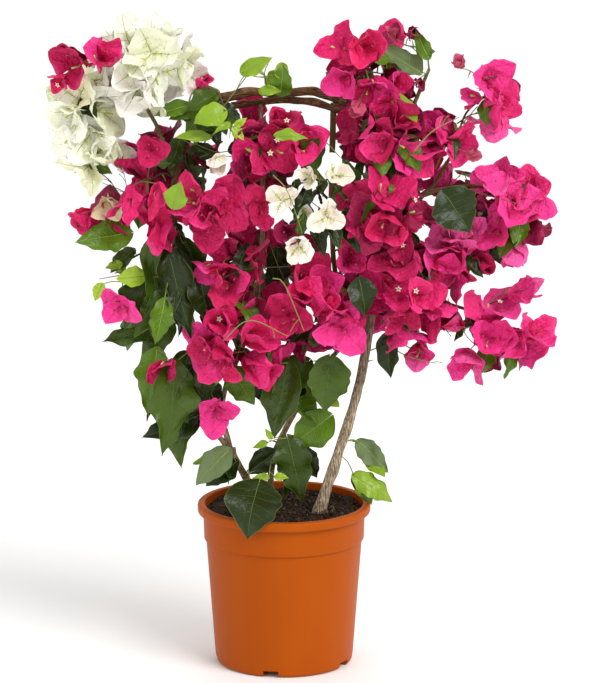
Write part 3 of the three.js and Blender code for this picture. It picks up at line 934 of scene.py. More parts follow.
class Mass:
    """One closed lump of the plan, and places spread out inside it."""

    def __init__(self, node):
        mesh = frame["nodes"][node].data
        corners = [vertex.co.copy() for vertex in mesh.vertices]
        self.surface = BVHTree.FromPolygons(corners, [list(face.vertices) for face in mesh.polygons])
        low, high = (np.array(corner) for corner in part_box(node))
        self.name, self.low, self.high, self.middle = node, low, high, (low + high) / 2

    def reach(self, direction):
        """How far the mass goes from its middle in one direction."""
        distance = self.surface.ray_cast(Vector(self.middle), Vector(direction))[3]
        return distance if distance else 20 * MM

    def at(self, x, y, z):
        """A place given as shares of the mass's box."""
        return self.low + (self.high - self.low) * [x, y, z]

    def spread(self, count, inset, rng, tries=14):
        """Places about one inset under the surface, each with the direction that it looks in."""
        for _ in range(count):
            options = []
            for _ in range(tries):
                direction = unit(rng.normal(size=3))
                far = self.reach(direction)
                spot = self.middle + direction * max(0.2 * far, far - inset * rng.uniform(0.85, 1.25))
                room = np.linalg.norm(np.array(taken) - spot, axis=1).min()
                options.append((room, spot, direction))
            room, spot, direction = max(options, key=lambda option: option[0])
            taken.append(spot)
            yield spot, direction


masses = {node: Mass(node) for tone in ("magenta", "white", "green") for node in nodes_in[tone]}
widest = max(masses.values(), key=lambda mass: mass.high[0] - mass.low[0])
print(len(masses), "masses, the widest being", widest.name)

# %% [markdown]
# ## Twigs
#
# Green twigs carry everything. They follow one rule: a mass is reached by a main twig from
# the nearest limb, and every head or leaf then sends its stalk to the nearest twig that is
# already there. A twig's width comes from how much it carries, so they thin towards the
# ends as real ones do.

# %% Twigs that join what is there
limb_points = np.vstack([smooth_path(path, 4 * MM) for path, _ in middle_lines.values()])
twig_finishes = [foliage_finish("green_twig", "7d8a3f", 0.55, 1500, 0.2 * MM),
                 foliage_finish("red_twig", "7a4a33", 0.6, 1500, 0.3 * MM),
                 foliage_finish("dark_twig", "4a3a24", 0.7, 1500, 0.4 * MM)]
GREEN_TWIG, RED_TWIG, DARK_TWIG = range(3)
THINNEST_TWIG = 0.5 * MM
HEAVY_LOAD = 7  # heads and leaves, from which a twig is drawn as dark wood
THORNY_SHARE = 0.2
# A twig would rather not start above its end, in front of it, or right beside it.
ABOVE_COST, FRONT_COST, BESIDE_COST, BESIDE = 0.35, 0.45, 20 * MM, 7 * MM
piles["twig"] = Pile("twigs", "bark", twig_finishes)
piles["thorn"] = Pile("thorns", "bark", twig_finishes)


class Twigs:
    """The twigs of one mass: a growing tree of points, drawn once all its stalks are in."""

    def __init__(self, middle, rng):
        above = np.maximum(limb_points[:, 2] - middle[2], 0)
        away = np.linalg.norm(limb_points - middle, axis=1) + ABOVE_COST * above
        foot = limb_points[np.argmin(away)]
        self.rng, self.points, self.parents, self.stalks = rng, [foot], [-1], []
        self.grow(middle, 0, lift=0.18)

    def grow(self, end, start, lift):
        """Adds a curved stalk from a point that is there to a new end."""
        root = self.points[start]
        span = np.linalg.norm(end - root)
        sag = np.array([0, 0, lift * span]) + 0.07 * span * self.rng.normal(size=3)
        line = smooth_path([root, root + (end - root) * 0.5 + sag, end], 5 * MM)[1:]
        chain = [start]
        for point in line:
            self.points.append(point)
            self.parents.append(chain[-1])
            chain.append(len(self.points) - 1)
        self.stalks.append(chain)

    def join(self, end, outwards):
        """Sends a stalk from a head or leaf to the nearest twig that lies behind it."""
        points = np.array(self.points)
        gap = points - end
        distance = np.linalg.norm(gap, axis=1)
        cost = distance + FRONT_COST * np.maximum(gap @ outwards, 0)
        cost[distance < BESIDE] += BESIDE_COST
        self.grow(end, int(np.argmin(cost)), lift=0.04)

    def draw(self):
        """Makes every stalk a tube, wider where it carries more, and adds a few thorns."""
        load = np.zeros(len(self.points))
        for chain in self.stalks:
            node = chain[-1]
            while node >= 0:
                load[node] += 1
                node = self.parents[node]
        radii = THINNEST_TWIG * np.maximum(load, 1) ** 0.33
        for chain in self.stalks:
            width = radii[chain]
            width[0] = width[1]
            shade = GREEN_TWIG if load[chain[1]] < HEAVY_LOAD else DARK_TWIG
            piles["twig"].add(*tube(np.array(self.points)[chain], width), shade)
        armed = [chain for chain in self.stalks[1:] if self.rng.uniform() < THORNY_SHARE]
        for chain in self.stalks[:1] + armed:
            self.thorn(np.array(self.points)[chain])

    def thorn(self, line):
        """A slightly hooked thorn on a twig."""
        k = len(line) // 2
        out = unit(self.rng.normal(size=3))
        size = self.rng.uniform(6, 12) * MM
        hook = np.outer([0, 0, 0.15], [0, 0, 1])
        path = line[k] + np.outer([0, 0.5, 1], out) * size - hook * size
        piles["thorn"].add(*tube(path, np.array([0.8, 0.5, 0.12]) * MM), GREEN_TWIG)


print(len(limb_points), "points on the limbs that a twig can start from")

# %% [markdown]
# ## Growing the plant
#
# Each mass is grown from its own random stream: first the heads and leaves that have a
# place of their own, then as many more as fill it. Places that are taken count for every
# mass, so neighbours don't crowd each other. Magenta masses also hold a few leaves, which
# show green and dark between the bracts.

# %% Blooms given one by one
# For each mass, rows of: place in its box (across, front to back, up), where the head looks
# (degrees to the right of the front, degrees up), length in mm, how far its bracts lean out
# in degrees, and kind.
BLOOMS = {
    "magenta_tip_left": [
        (0.72, 0.35, 0.5, 10, 25, 35, 34, "magenta"),
        (0.28, 0.3, 0.45, -50, 0, 34, 34, "magenta"),
        (0.08, 0.4, 0.1, -40, -20, 18, 30, "magenta"),
    ],
    "leaves_top_left": [(0.46, 0.3, 1.1, 50, 35, 19, 18, "magenta")],
    "white_left": [
        (0.62, 0.25, 0.02, 10, -15, 34, 48, "white"),
        (0.28, 0.3, 0.05, -35, -25, 33, 44, "white"),
    ],
    "white_low": [(0.85, 0.3, 0.6, 25, 0, 31, 42, "white")],
    "magenta_left": [
        (0.35, 0.3, 0.5, -50, -10, 28, 45, "magenta"),
        (0.8, 0.3, 0.35, 20, -35, 26, 40, "magenta"),
        (0.7, 0.0, 0.75, 10, -30, 24, 30, "dry"),
    ],
    "magenta_hanging_left": [
        (0.6, 0.15, 0.82, 0, 5, 23, 42, "magenta"),
        (0.2, 0.2, 0.36, -15, -68, 42, 17, "hanging"),
        (0.75, 0.2, 0.38, 20, -70, 40, 16, "hanging"),
        (0.5, 0.6, 0.25, 0, -75, 38, 20, "hanging"),
    ],
    "magenta_big_left": [
        (0.62, 0.35, 0.45, 15, 5, 37, 58, "magenta"),
        (0.25, 0.3, 0.6, -35, 20, 34, 48, "magenta"),
        (0.45, 0.35, 0.15, -10, -30, 33, 45, "magenta"),
        (1.05, 0.65, 0.4, 10, 0, 30, 45, "magenta"),
    ],
    "blush_middle": [
        (0.3, 0.3, 0.33, 0, 5, 23, 40, "magenta"),
        (0.86, 0.15, 0.9, 25, 20, 20, 54, "blush"),
        (0.52, 0.25, 0.86, -30, 5, 15, 42, "blush"),
        (0.18, 0.15, 0.64, -15, 15, 20, 54, "blush"),
        (0.76, 0.1, 0.47, 20, -5, 21, 50, "blush"),
        (0.4, 0.1, 0.18, -5, -10, 21, 54, "blush"),
        (0.46, 0.35, 0.52, 10, 10, 13, 40, "blush"),
    ],
    "magenta_upper_middle": [
        (0.3, 0.3, 0.3, -10, 5, 31, 42, "magenta"),
        (0.85, 0.3, 0.55, 25, 20, 32, 40, "magenta"),
        (0.6, 0.3, 0.9, 0, 45, 27, 36, "magenta"),
        (-0.02, 0.2, 0.3, -20, -35, 20, 25, "blush"),
    ],
    "twig_tip_left": [(0.45, -0.2, 0.28, -20, -15, 27, 52, "rosy")],
    "leaves_drop_left": [
        (0.35, 0.0, 0.85, -10, -10, 25, 35, "magenta"),
        (1.12, 0.1, 0.42, 5, -20, 30, 52, "rosy"),
    ],
    "magenta_low_middle": [(0.87, 0.4, 1.02, 10, 10, 31, 45, "magenta")],
    "magenta_top_right": [
        (0.19, 0.25, 0.79, -25, 20, 29, 42, "magenta"),
        (0.48, 0.2, 0.77, 12, 5, 31, 42, "magenta"),
        (0.26, 0.15, 0.42, -20, -10, 27, 45, "rosy"),
        (0.56, 0.15, 0.3, 5, -10, 32, 50, "magenta"),
        (0.84, 0.4, 0.33, 45, 5, 26, 38, "magenta"),
        (0.4, 0.75, 0.6, -30, 35, 30, 45, "magenta"),
    ],
    "magenta_far_top": [
        (0.6, 0.3, 0.75, 30, 15, 32, 35, "magenta"),
        (0.75, 0.3, 0.43, 45, -20, 34, 38, "magenta"),
        (0.25, 0.4, 0.5, -60, 0, 20, 18, "magenta"),
    ],
    "magenta_far_upper": [
        (0.7, 0.3, 0.5, 35, 5, 30, 40, "magenta"),
        (0.1, 0.3, 0.6, -20, -30, 28, 40, "magenta"),
    ],
    "magenta_single_right": [(0.3, 0.4, 0.45, 75, 12, 36, 20, "magenta")],
    "magenta_small_right": [(0.4, 0.4, 0.6, -30, -30, 27, 32, "magenta")],
    "magenta_low_right": [
        (0.85, 0.3, 0.6, 50, 20, 33, 38, "magenta"),
        (0.45, 0.2, 0.55, 0, 5, 33, 55, "magenta"),
        (0.25, 0.3, 0.25, -20, -45, 35, 30, "magenta"),
        (0.66, 0.3, 0.52, 25, -25, 30, 36, "magenta"),
    ],
}
# The same without lean and kind, for heads that are still closed.
CLOSED = {
    "tip_top_right": [
        (0.16, 0.4, 0.78, -10, 60, 15),
        (0.48, 0.4, 0.74, 20, 20, 19),
        (0.57, 0.3, -0.13, 10, -20, 14),
    ],
    "magenta_far_top": [(0.0, 0.3, 0.95, -30, 50, 14)],
    "magenta_top_right": [(0.4, 0.0, 0.1, -15, -20, 17)],
    "magenta_far_upper": [(0.9, 0.0, 0.3, 60, -20, 13)],
}
print(sum(map(len, BLOOMS.values())), "blooms and", sum(map(len, CLOSED.values())), "closed heads by hand")

# %% Leaves given one by one
# For each mass, rows of: place of the leaf's foot in its box, where the leaf points (degrees
# from straight down, to the right), how far it leans to the front, length in mm, width as a
# share of the length, tint, and how far it curls along its length. A few show their backs.
LEAVES = {
    "leaves_column_left": [
        (0.47, 0.2, 0.86, 12, 8, 92, 0.36, 2, -0.35),
        (0.15, 0.3, 0.92, 9, 5, 100, 0.26, 1, -0.4),
        (0.75, 0.5, 0.9, 16, 10, 70, 0.5, 0, -0.5),
        (0.4, 0.1, 0.42, -8, 12, 46, 0.5, 3, -0.6),
        (0.55, 0.6, 0.6, -20, 10, 66, 0.55, 2, -0.4),
        (0.1, 0.4, 0.6, -28, 8, 58, 0.5, 0, -0.4),
    ],
    "leaves_point_left": [
        (0.95, 0.4, 0.7, -82, 10, 60, 0.5, 1, -0.35),
        (1.1, 0.3, 0.9, -45, 12, 46, 0.6, 1, -0.5),
    ],
    "leaves_drop_left": [
        (0.48, 0.15, 0.88, -2, 8, 92, 0.48, 1, -0.3),
        (0.22, 0.35, 0.98, -10, 6, 68, 0.5, 3, -0.4),
        (0.85, 0.5, 0.35, -68, 12, 62, 0.52, 2, -0.5),
        (0.85, 0.3, 1.0, 6, 8, 56, 0.5, 0, -0.4),
        (0.95, 0.6, 0.7, 2, 4, 50, 0.6, 2, -0.3),
    ],
    "twig_tip_left": [
        (0.96, 0.1, 0.68, -88, 15, 28, 0.74, 5, -0.2),
        (0.5, 0.4, 0.82, -72, 15, 17, 0.55, 4, -0.2),
        (0.12, 0.3, 0.55, -30, 15, 18, 0.75, 5, -0.3),
        (0.75, 0.6, 0.98, -50, 5, 34, 0.5, 0, -0.4),
    ],
    "magenta_left": [(0.98, 0.2, 0.26, -83, 18, 56, 0.56, 3, 0.2)],
    "magenta_big_left": [(0.05, 0.1, 0.5, 165, 15, 27, 0.85, 4, -0.2)],
    "leaves_top": [
        (0.05, 0.4, 0.55, 122, 10, 33, 0.52, 4, -0.3),
        (0.7, 0.3, -0.05, 170, 10, 29, 0.8, 3, -0.4),
        (0.5, 0.6, 0.1, 140, -5, 27, 0.7, 5, -0.3),
        (0.35, 0.2, 0.05, 100, 20, 22, 0.5, 4, -0.4),
    ],
    "leaves_top_left": [
        (0.62, 0.2, 0.98, -60, 15, 34, 0.68, 1, -0.4),
        (0.7, 0.0, 0.72, -70, 20, 32, 0.75, 4, -0.6),
        (0.3, 0.3, 0.75, -80, 10, 34, 0.5, 3, -0.3),
        (0.8, 0.1, 0.35, 85, 20, 26, 0.5, 5, -0.4),
        (0.55, 0.1, 0.3, -95, 18, 36, 0.34, 4, -0.3),
        (0.8, -0.1, 0.5, 40, 20, 17, 0.5, 5, -0.3),
        (0.82, -0.1, 0.5, 130, 20, 15, 0.5, 5, -0.3),
        (0.76, -0.1, 0.55, -60, 20, 18, 0.5, 4, -0.3),
        (0.35, 0.4, 0.1, 60, 10, 34, 0.5, 2, -0.4),
        (0.2, 0.5, 0.2, -20, 10, 36, 0.5, 0, -0.4),
        (0.75, 0.5, 0.0, 110, 5, 32, 0.55, 2, -0.4),
        (0.92, 0.0, 0.2, 70, 20, 20, 0.45, 5, -0.4),
    ],
    "leaves_low_middle": [
        (0.4, 0.2, 0.95, -14, 10, 76, 0.56, 0, -0.35),
        (0.62, 0.3, 0.95, -48, 12, 48, 0.72, 1, -0.3),
        (0.85, 0.2, 1.0, -6, 10, 52, 0.82, 1, -0.3),
        (0.85, 0.7, 0.07, -52, 10, 50, 0.72, 3, -0.3),
        (-0.2, 0.5, 0.8, 32, 10, 42, 0.7, 3, -0.4),
        (-0.35, 0.3, 1.05, -10, 10, 34, 0.66, 4, -0.3),
        (0.1, 0.8, 0.9, 10, 0, 52, 0.66, 2, -0.4),
    ],
    "leaves_foot_middle": [
        (0.4, 0.2, 0.98, 15, 10, 68, 0.52, 0, -0.3),
        (0.0, 0.7, 0.7, -55, 5, 36, 0.7, 2, -0.4),
        (0.9, 0.8, 0.75, 20, 0, 36, 0.6, 2, -0.4),
        (-0.25, 0.1, 0.92, -80, 15, 16, 0.5, 4, -0.3),
        (-0.1, 0.1, 0.98, -150, 15, 13, 0.5, 5, -0.3),
        (-0.2, 0.0, 0.4, -95, 15, 17, 0.5, 4, -0.3),
        (0.0, 0.0, 0.4, 95, 15, 14, 0.6, 5, -0.3),
    ],
    "leaf_over_lip": [(0.62, 0.4, 1.3, -24, 52, 60, 0.92, 2, -0.75)],
    "leaves_foot_left": [
        (0.8, 0.2, 0.9, -47, 12, 48, 0.58, UNDERSIDE, -0.3),
        (0.95, 0.5, 0.6, -55, 8, 40, 0.62, 2, -0.4),
    ],
    "leaves_foot_right": [
        (0.2, 0.5, 0.95, 45, 10, 44, 0.5, UNDERSIDE, -0.4),
        (0.1, 0.2, 0.38, 62, 15, 50, 0.46, 4, -1.0),
        (0.1, 0.3, 0.36, 38, 12, 36, 0.5, 3, -0.6),
    ],
    "magenta_middle_right": [(0.27, 0.0, 1.36, 38, 12, 44, 1.05, 2, -0.2)],
    "tip_top_right": [
        (0.6, 0.4, 0.06, -128, 5, 50, 0.46, UNDERSIDE, -0.6),
        (0.74, 0.3, 0.32, -152, 5, 31, 0.48, 3, -0.3),
    ],
    "magenta_right_low": [
        (0.35, 0.6, 0.1, -5, 5, 44, 0.6, 2, -0.3),
        (0.02, 0.2, 0.66, 12, 10, 36, 0.8, 2, -0.3),
    ],
    "magenta_low_left": [(0.1, 0.6, 1.25, 10, 8, 52, 0.6, 2, -0.4)],
    "blush_middle": [
        (0.95, 0.7, 0.95, 5, 8, 46, 0.5, 0, -0.3),
        (0.6, 0.9, 1.2, -10, 8, 48, 0.5, 1, -0.3),
        (0.98, 0.6, 0.5, 15, 8, 44, 0.5, 2, -0.3),
    ],
    "magenta_upper_middle": [(0.55, 0.0, 0.75, 88, 10, 32, 0.36, 4, -0.5)],
}
print(sum(map(len, LEAVES.values())), "leaves by hand")

# %% Habits of the masses
SEED = 4107
# The last set holds the darkest tints: painted shade for heads that face into the plant.
CRIMSON, BRIGHT, ROSY, INNER_SHADE_TINTS = (0, 2, 4, 1, 5), (1, 0, 4, 7, 2), (3, 7, 6, 1), (5, 2, 5)
CREAM = (0, 1, 2, 3, 0)
BRIGHT_MASSES = ("magenta_tip_left", "magenta_top_right", "magenta_low_left", "magenta_low_middle")
ROSY_ENDINGS = ("far_right", "low_right", "far_top", "single_right", "small_right", "middle_right")
# How many heads the rule adds to each mass.
FILLERS = {
    "magenta_left": 1, "magenta_hanging_left": 2, "magenta_big_left": 2,
    "magenta_upper_middle": 6, "magenta_middle": 6, "magenta_low_left": 11,
    "magenta_low_middle": 12, "magenta_top_right": 1, "magenta_right_upper": 12,
    "magenta_right_middle": 11, "magenta_right_low": 13, "magenta_far_top": 2,
    "magenta_far_upper": 2, "magenta_far_right": 11, "magenta_middle_right": 7,
    "magenta_low_right": 5, "white_top": 13, "white_left": 7, "white_low": 4, "back_white": 9,
    "back_left": 8, "back_middle": 8, "back_low_middle": 9, "back_top_right": 8,
    "back_right": 9, "back_low_right": 8, "back_far_right": 8,
}
# How many leaves it adds, their style, and their shortest and longest length in mm.
NO_LEAVES = (0, "young", 0, 0)
LEAF_HABITS = {
    "leaves_top_left": (13, "mature", 26, 36), "leaves_top": (2, "young", 20, 28),
    "leaves_column_left": (6, "drooping", 52, 72), "twig_tip_left": (1, "young", 18, 24),
    "leaves_point_left": (1, "drooping", 40, 50), "leaves_drop_left": (5, "drooping", 50, 70),
    "leaves_low_middle": (5, "mature", 40, 54), "leaves_foot_middle": (1, "drooping", 36, 44),
    "leaf_over_lip": NO_LEAVES, "leaves_foot_left": (2, "mature", 28, 36),
    "leaves_foot_right": (1, "young", 24, 30), "blush_middle": (13, "drooping", 28, 42),
    "tip_top_right": (1, "young", 18, 24), "magenta_tip_left": NO_LEAVES,
    "magenta_single_right": NO_LEAVES, "magenta_small_right": NO_LEAVES,
    "magenta_big_left": NO_LEAVES, "back_left": (9, "drooping", 40, 54),
    "back_middle": (9, "drooping", 36, 50), "back_low_middle": (9, "drooping", 40, 56),
    "back_top_right": (6, "mature", 30, 42), "back_right": (9, "drooping", 36, 50),
    "back_low_right": (8, "drooping", 36, 50), "back_far_right": (6, "mature", 30, 42),
}


def towards(right, up):
    """A direction given as degrees to the right of the front, and degrees upwards."""
    right, up = math.radians(right), math.radians(up)
    flat = math.cos(up)
    return np.array([math.sin(right) * flat, -math.cos(right) * flat, math.sin(up)])


def hanging(right, forward):
    """A direction given as degrees from straight down to the right, and degrees forwards."""
    right, forward = math.radians(right), math.radians(forward)
    flat = math.cos(forward)
    return np.array([math.sin(right) * flat, -math.sin(forward), -math.cos(right) * flat])


# Each kind of head: its pile, its tints if they aren't the mass's own, and its other habits.
BLOOM_KINDS = {
    "magenta": ("magenta", None, {"stars": 0.02}),
    "rosy": ("magenta", (7, 3, 7), {"stars": 0}),
    "hanging": ("magenta", None, {"broad": 0.6, "stars": 0}),
    "white": ("white", (0, 1, 3), {"stars": 0.1}),
    "blush": ("white", (4, 4, 3), {"tip": 0.62, "broad": 1.0, "stars": 0}),
    "dry": ("dry", (0, 0, 1), {"stars": 0}),
}


def bloom(twigs, spot, axis, length, lean, kind, tints, rng, **more):
    """One head, kept inside the plan's box, and the stalk that it stands on."""
    reach = np.array([spot - length * 0.7, spot + length * 0.7]) + axis * length * 0.45
    spot = spot + pull_in(reach)
    taken.append(spot)
    add_head(spot, axis, length, kind, rng, lean, tints, **more)
    twigs.join(spot - axis * 2 * MM, axis)


def leaf(twigs, base, along, face, length, style, rng, **more):
    """One leaf, kept inside the plan's box, and the stalk that it hangs from."""
    base = base + pull_in(np.array([base, base + along * length]))
    add_leaf(base, along, face, length, style, rng, **more)
    twigs.join(base, unit(along + [0, 0, 0.5]))


print("the rule adds", sum(FILLERS.values()), "heads to", len(FILLERS), "masses")

# %% Grow one mass
CLOSED_LEAN = 14
HEAD_INSET, LEAF_INSET = 19 * MM, 14 * MM
WHITE_GROWTH = 1.06
YOUNG_SHARE = 0.22


def hand_placed(mass, twigs, tints, rng):
    """The blooms, closed heads and leaves that have a row for this mass."""
    for x, y, z, right, up, length, lean, kind in BLOOMS.get(mass.name, []):
        axis = towards(right, up)
        spot = mass.at(x, y, z) - axis * length * 0.35 * MM
        pile, shades, more = BLOOM_KINDS[kind]
        bloom(twigs, spot, axis, length * MM, lean, pile, shades or tints, rng, **more)
    for x, y, z, right, up, length in CLOSED.get(mass.name, []):
        axis = towards(right, up)
        spot = mass.at(x, y, z) - axis * length * 0.4 * MM
        bloom(twigs, spot, axis, length * MM, CLOSED_LEAN, "dry", (2, 3, 2), rng, stars=0)
    for x, y, z, right, forward, length, ratio, tint, curl in LEAVES.get(mass.name, []):
        face = unit([0.2 * rng.normal(), -1, 0.45 + 0.15 * rng.normal()])
        style = "drooping" if ratio < 0.56 and length > 45 else "mature"
        leaf(twigs, mass.at(x, y, z), hanging(right, forward), face, length * MM, style, rng,
             tint=tint, ratio=ratio, curl=curl)


def magentas(mass, number):
    """The tints of a mass's heads: rosy at the right, and crimson or bright elsewhere."""
    if mass.name.endswith(ROSY_ENDINGS):
        return ROSY
    return BRIGHT if number % 2 or mass.name in BRIGHT_MASSES else CRIMSON


def fill_heads(mass, twigs, tints, rng):
    """The heads that the rule adds: each looks outwards, and rather to the front or back."""
    white = slot_of[mass.name] == "white"
    for spot, outwards in mass.spread(FILLERS.get(mass.name, 0), HEAD_INSET, rng):
        front = -0.5 if spot[1] < 5 * MM else 0.3
        axis = unit(outwards + [0, front, 0.05] + 0.38 * rng.normal(size=3))
        length = rng.uniform(28, 37) * (WHITE_GROWTH if white else 1) * MM
        # Heads that face into the plant take the darkest tints, as painted shade.
        inner = outwards[1] > 0.25 if mass.middle[1] < 10 * MM else outwards[1] < -0.1
        shades = CREAM if white else INNER_SHADE_TINTS if inner else tints
        kind = "white" if white else "magenta"
        bloom(twigs, spot, axis, length, rng.uniform(20, 62), kind, shades, rng)


def fill_leaves(mass, twigs, rng):
    """The leaves that the rule adds, each drooping as its style does."""
    few = (max(2, FILLERS.get(mass.name, 0) // 2 + 1), "mature", 26, 40)
    default = few if slot_of[mass.name] == "magenta" else (1, "mature", 24, 32)
    count, style, small, large = LEAF_HABITS.get(mass.name, default)
    for spot, outwards in mass.spread(count, LEAF_INSET, rng):
        length = rng.uniform(small, large) * MM
        droop = [0, 0, LEAF_STYLES[style]["droop"]]
        along = unit(outwards * [1, 0.8, 0.5] + droop + 0.3 * rng.normal(size=3))
        front = -0.5 if spot[1] < 5 * MM else 0.3
        face = unit(outwards + [0, front, 0.6] + 0.3 * rng.normal(size=3))
        young = style == "mature" and rng.uniform() < YOUNG_SHARE
        leaf(twigs, spot - along * length * 0.5, along, face, length, "young" if young else style, rng)


def grow(mass, number):
    """Grows everything in one mass: rows first, then seeded heads and leaves round them."""
    rng = np.random.default_rng([SEED, number])
    height = 0.8 if slot_of[mass.name] == "green" else 0.5
    twigs = Twigs(mass.at(0.5, 0.6, height), rng)
    tints = magentas(mass, number)
    hand_placed(mass, twigs, tints, rng)
    fill_heads(mass, twigs, tints, rng)
    fill_leaves(mass, twigs, rng)
    twigs.draw()


for number, mass in enumerate(masses.values()):
    grow(mass, number)
print({kind: len(pile.things) for kind, pile in piles.items()})

# %% [markdown]
# ## Bare stalks, thorns and flakes
#
# Between the blooms there are stalks whose flowers have dropped: thin, dark and forked.
# Long green flower stalks arch in front of others. A bougainvillea climbs with its thorns,
# so a few large ones stand on the old wood, and its bark flakes off at the foot.

# %% Bare stalks that arch or fork
# Each row: mass, where the stalk starts and ends in its box, how far it bows upwards (mm),
# its radius in mm, how many forks it has, and its finish.
STALKS = [
    ("white_low", (0.9, 0.6, -0.35), (0.55, 0.2, 0.35), 4, 0.55, 3, DARK_TWIG),
    ("white_low", (1.0, 0.5, -0.5), (0.95, 0.3, 0.3), 2, 0.5, 2, DARK_TWIG),
    ("magenta_left", (1.1, 0.5, 0.6), (0.6, 0.2, 1.1), 3, 0.5, 2, DARK_TWIG),
    ("twig_tip_left", (1.1, 0.4, 0.6), (0.05, 0.3, 0.62), 6, 0.7, 2, RED_TWIG),
    ("twig_tip_left", (1.1, 0.3, 0.12), (0.55, 0.0, 0.2), 3, 0.5, 0, GREEN_TWIG),
    ("magenta_low_left", (0.35, 0.0, 0.55), (1.0, 0.0, 0.6), 16, 0.6, 1, GREEN_TWIG),
    ("magenta_low_middle", (0.0, 0.0, 0.9), (0.35, 0.0, 0.35), 14, 0.6, 1, GREEN_TWIG),
    ("magenta_middle", (0.9, 0.3, 0.9), (1.2, 0.2, 0.1), -3, 0.6, 3, DARK_TWIG),
    ("magenta_middle", (0.2, 0.2, 0.3), (1.2, 0.1, 0.55), 5, 0.9, 1, DARK_TWIG),
    ("magenta_right_upper", (0.8, 0.1, 0.4), (1.3, 0.4, 0.75), 5, 0.6, 2, GREEN_TWIG),
    ("magenta_far_top", (-0.4, 0.6, -0.4), (0.35, 0.4, 0.4), 5, 0.75, 1, GREEN_TWIG),
    ("magenta_far_upper", (0.6, 0.4, 0.9), (1.5, 0.4, 1.1), 7, 0.6, 1, DARK_TWIG),
    ("magenta_far_right", (-0.7, 0.3, 0.75), (0.5, 0.1, 0.7), 10, 0.8, 2, RED_TWIG),
    ("magenta_low_right", (-0.25, 0.6, 0.85), (0.12, 0.3, 0.62), -4, 0.6, 3, DARK_TWIG),
    ("magenta_low_right", (-0.45, 0.4, 0.5), (0.0, 0.3, 0.25), -4, 0.6, 1, GREEN_TWIG),
    ("magenta_single_right", (-0.9, 0.6, -0.35), (0.3, 0.5, 0.4), 6, 0.7, 0, DARK_TWIG),
    ("leaves_top", (-0.35, 0.3, -0.6), (0.15, 0.4, 0.5), 2, 0.7, 1, GREEN_TWIG),
    ("blush_middle", (0.1, 0.0, 0.9), (0.45, 0.0, 0.35), 9, 0.5, 1, GREEN_TWIG),
]
stalk_rng = np.random.default_rng(57)


def bare_stalk(start, end, bow, radius, forks, finish, rng):
    """A thin bowed stalk, and short forks off it that end in small knobs."""
    rise = np.array([0, 0, bow * MM]) + 1.5 * MM * rng.normal(size=3)
    line = smooth_path([start, start * 0.6 + end * 0.4 + rise, end], 4 * MM)
    piles["twig"].add(*tube(line, np.linspace(1.15, 0.6, len(line)) * radius * MM), finish)
    for share in rng.uniform(0.35, 0.95, forks):
        root = line[int(share * (len(line) - 1))]
        way = unit(unit(end - start) + 0.9 * rng.normal(size=3))
        tip = root + way * rng.uniform(9, 18) * MM
        branch = smooth_path([root, (root + tip) / 2 + [0, 0, 1.2 * MM], tip], 3 * MM)
        widths = np.full(len(branch), 0.55 * radius * MM)
        widths[-1] = radius * MM
        piles["twig"].add(*tube(branch, widths), finish)


for node, start, end, bow, radius, forks, finish in STALKS:
    mass = masses[node]
    bare_stalk(mass.at(*start), mass.at(*end), bow, radius, forks, finish, stalk_rng)
print(len(STALKS), "bare stalks")

# %% Thorns on the old wood, and flakes at the foot
# Each row: limb, share of the way along it, where the thorn points (degrees to the right of
# the front, degrees up), and its length in mm.
THORNS = [
    ("arch_top_stem", 0.8, 70, 72, 30), ("arch_top_stem", 0.45, -40, 50, 12),
    ("left_inner_bough", 0.12, 20, 45, 15), ("left_inner_bough", 0.16, 60, 20, 12),
    ("left_inner_bough", 0.4, -70, 30, 12), ("left_outer_bough", 0.3, -80, 35, 11),
    ("trunk_middle", 0.35, -60, 25, 13), ("trunk_middle", 0.55, 70, 30, 12),
    ("trunk_right", 0.45, 80, 20, 11), ("trunk_right", 0.7, -70, 35, 12),
    ("right_far_bough", 0.4, 40, 60, 12), ("right_low_bough", 0.5, 30, -20, 11),
    ("middle_upright", 0.4, 75, 30, 10), ("white_bough", 0.5, 50, 40, 10),
]
for node, share, right, up, length in THORNS:
    line = smooth_path(middle_lines[node][0], 2 * MM)
    root = line[int(share * (len(line) - 1))]
    out = towards(right, up)
    hook = np.array([0, 0, -0.1 * length * MM])
    path = np.array([root, root + out * length * 0.5 * MM, root + out * length * MM + hook])
    path = smooth_path(path, 2.5 * MM)
    piles["thorn"].add(*tube(path, np.linspace(1.3, 0.12, len(path)) * MM, 8), RED_TWIG)
FLAKES = 26
flake_tints = [RED_TWIG, DARK_TWIG, DARK_TWIG]
foot = middle_lines["trunk_right"][0][1]
for turn in stalk_rng.uniform(0, 2 * np.pi, FLAKES):
    out = np.array([math.cos(turn), math.sin(turn), 0])
    root = np.array([foot[0], foot[1], soil_top]) + out * stalk_rng.uniform(7, 10) * MM
    rise = np.array([0, 0, stalk_rng.uniform(1.5, 6) * MM])
    path = np.array([root, root + rise * 0.5 + out * 1.2 * MM, root + rise])
    radii = stalk_rng.uniform(0.4, 1.3, (3, 6)) * MM
    piles["thorn"].add(*tube(path, radii), flake_tints[stalk_rng.integers(3)])
print(len(THORNS), "thorns and", FLAKES, "flakes")

# %% Join what has grown
stands_for = {"magenta": nodes_in["magenta"], "white": nodes_in["white"], "leaf": nodes_in["green"]}
for kind, pile in piles.items():
    for piece in pile.join():
        settle(piece, pile.slot_name, *stands_for.get(kind, []))

# %% [markdown]
# ## The stage
#
# A plain pale floor, a bright room all round, a broad soft sun and two wide lamps. The sun
# comes from the right and is the strongest, so the pot is brighter on that side. The camera
# looks slightly down at the plant through a long lens.

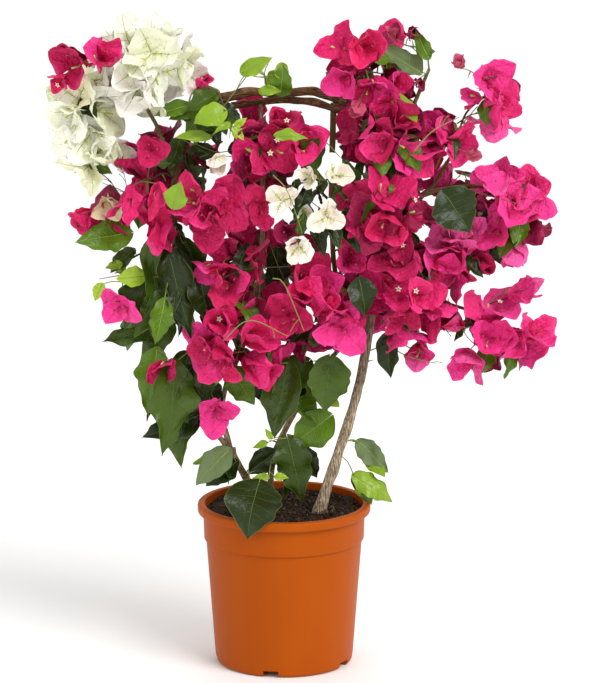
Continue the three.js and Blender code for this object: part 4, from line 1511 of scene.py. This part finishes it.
# %% Floor, light and camera
floor_finish = new_finish("pale_floor", "fbfbfa", 0.9, Specular_IOR_Level=0.2)
add_shades(floor_finish, add_noise(floor_finish, 3), (0.3, "fafaf9"), (0.7, "fcfcfb"))
FLOOR_REACH, FLOOR_LEVEL = 30, -0.4 * MM
floor_corners = [(-1, -1), (1, -1), (1, 1), (-1, 1)]
floor_points = np.array([[x * FLOOR_REACH, y * FLOOR_REACH, FLOOR_LEVEL] for x, y in floor_corners])
floor = make_piece("floor", floor_points, np.array([[0, 1, 2, 3]]), [floor_finish])
floor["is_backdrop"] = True

PLANT_MIDDLE = Vector((0, 0, 0.36))
world = bpy.data.worlds.new("bright_room")
world.use_nodes = True
world.node_tree.nodes.clear()
sky = world.node_tree.nodes.new("ShaderNodeBackground")
sky.inputs["Color"].default_value = (1.0, 0.995, 0.985, 1)
sky.inputs["Strength"].default_value = 0.64
room = world.node_tree.nodes.new("ShaderNodeOutputWorld")
world.node_tree.links.new(sky.outputs[0], room.inputs["Surface"])
bpy.context.scene.world = world


def soft_light(name, kind, place, strength, size):
    """A lamp turned towards the middle of the plant; a sun's size is in degrees."""
    lamp = bpy.data.lights.new(name, kind)
    lamp.energy = strength
    if kind == "SUN":
        lamp.angle = math.radians(size)
    else:
        lamp.shape = "SQUARE"
        lamp.size = size
    holder = bpy.data.objects.new(name, lamp)
    holder.location = place
    aim = PLANT_MIDDLE - holder.location
    holder.rotation_euler = aim.to_track_quat("-Z", "Y").to_euler()
    bpy.context.scene.collection.objects.link(holder)


soft_light("key_right", "SUN", (1.5, -1.5, 2.2), 2.12, 34)
soft_light("fill_left", "AREA", (-1.7, -1.5, 0.9), 9, 1.4)
soft_light("top_back", "AREA", (0.1, 1.0, 1.9), 8, 1.2)

LOOK_DOWN = 12.22  # degrees
camera_data = bpy.data.cameras.new("camera")
camera_data.sensor_width = 36
camera_data.lens = 188.4
camera = bpy.data.objects.new("camera", camera_data)
camera.location = (0.0157, -3.4, 1.0572)
camera.rotation_euler = (math.radians(90 - LOOK_DOWN), 0, 0)
bpy.context.scene.collection.objects.link(camera)
bpy.context.scene.camera = camera
bpy.context.scene.view_settings.view_transform = "Standard"
print("camera", round(camera.location.length, 2), "m away")
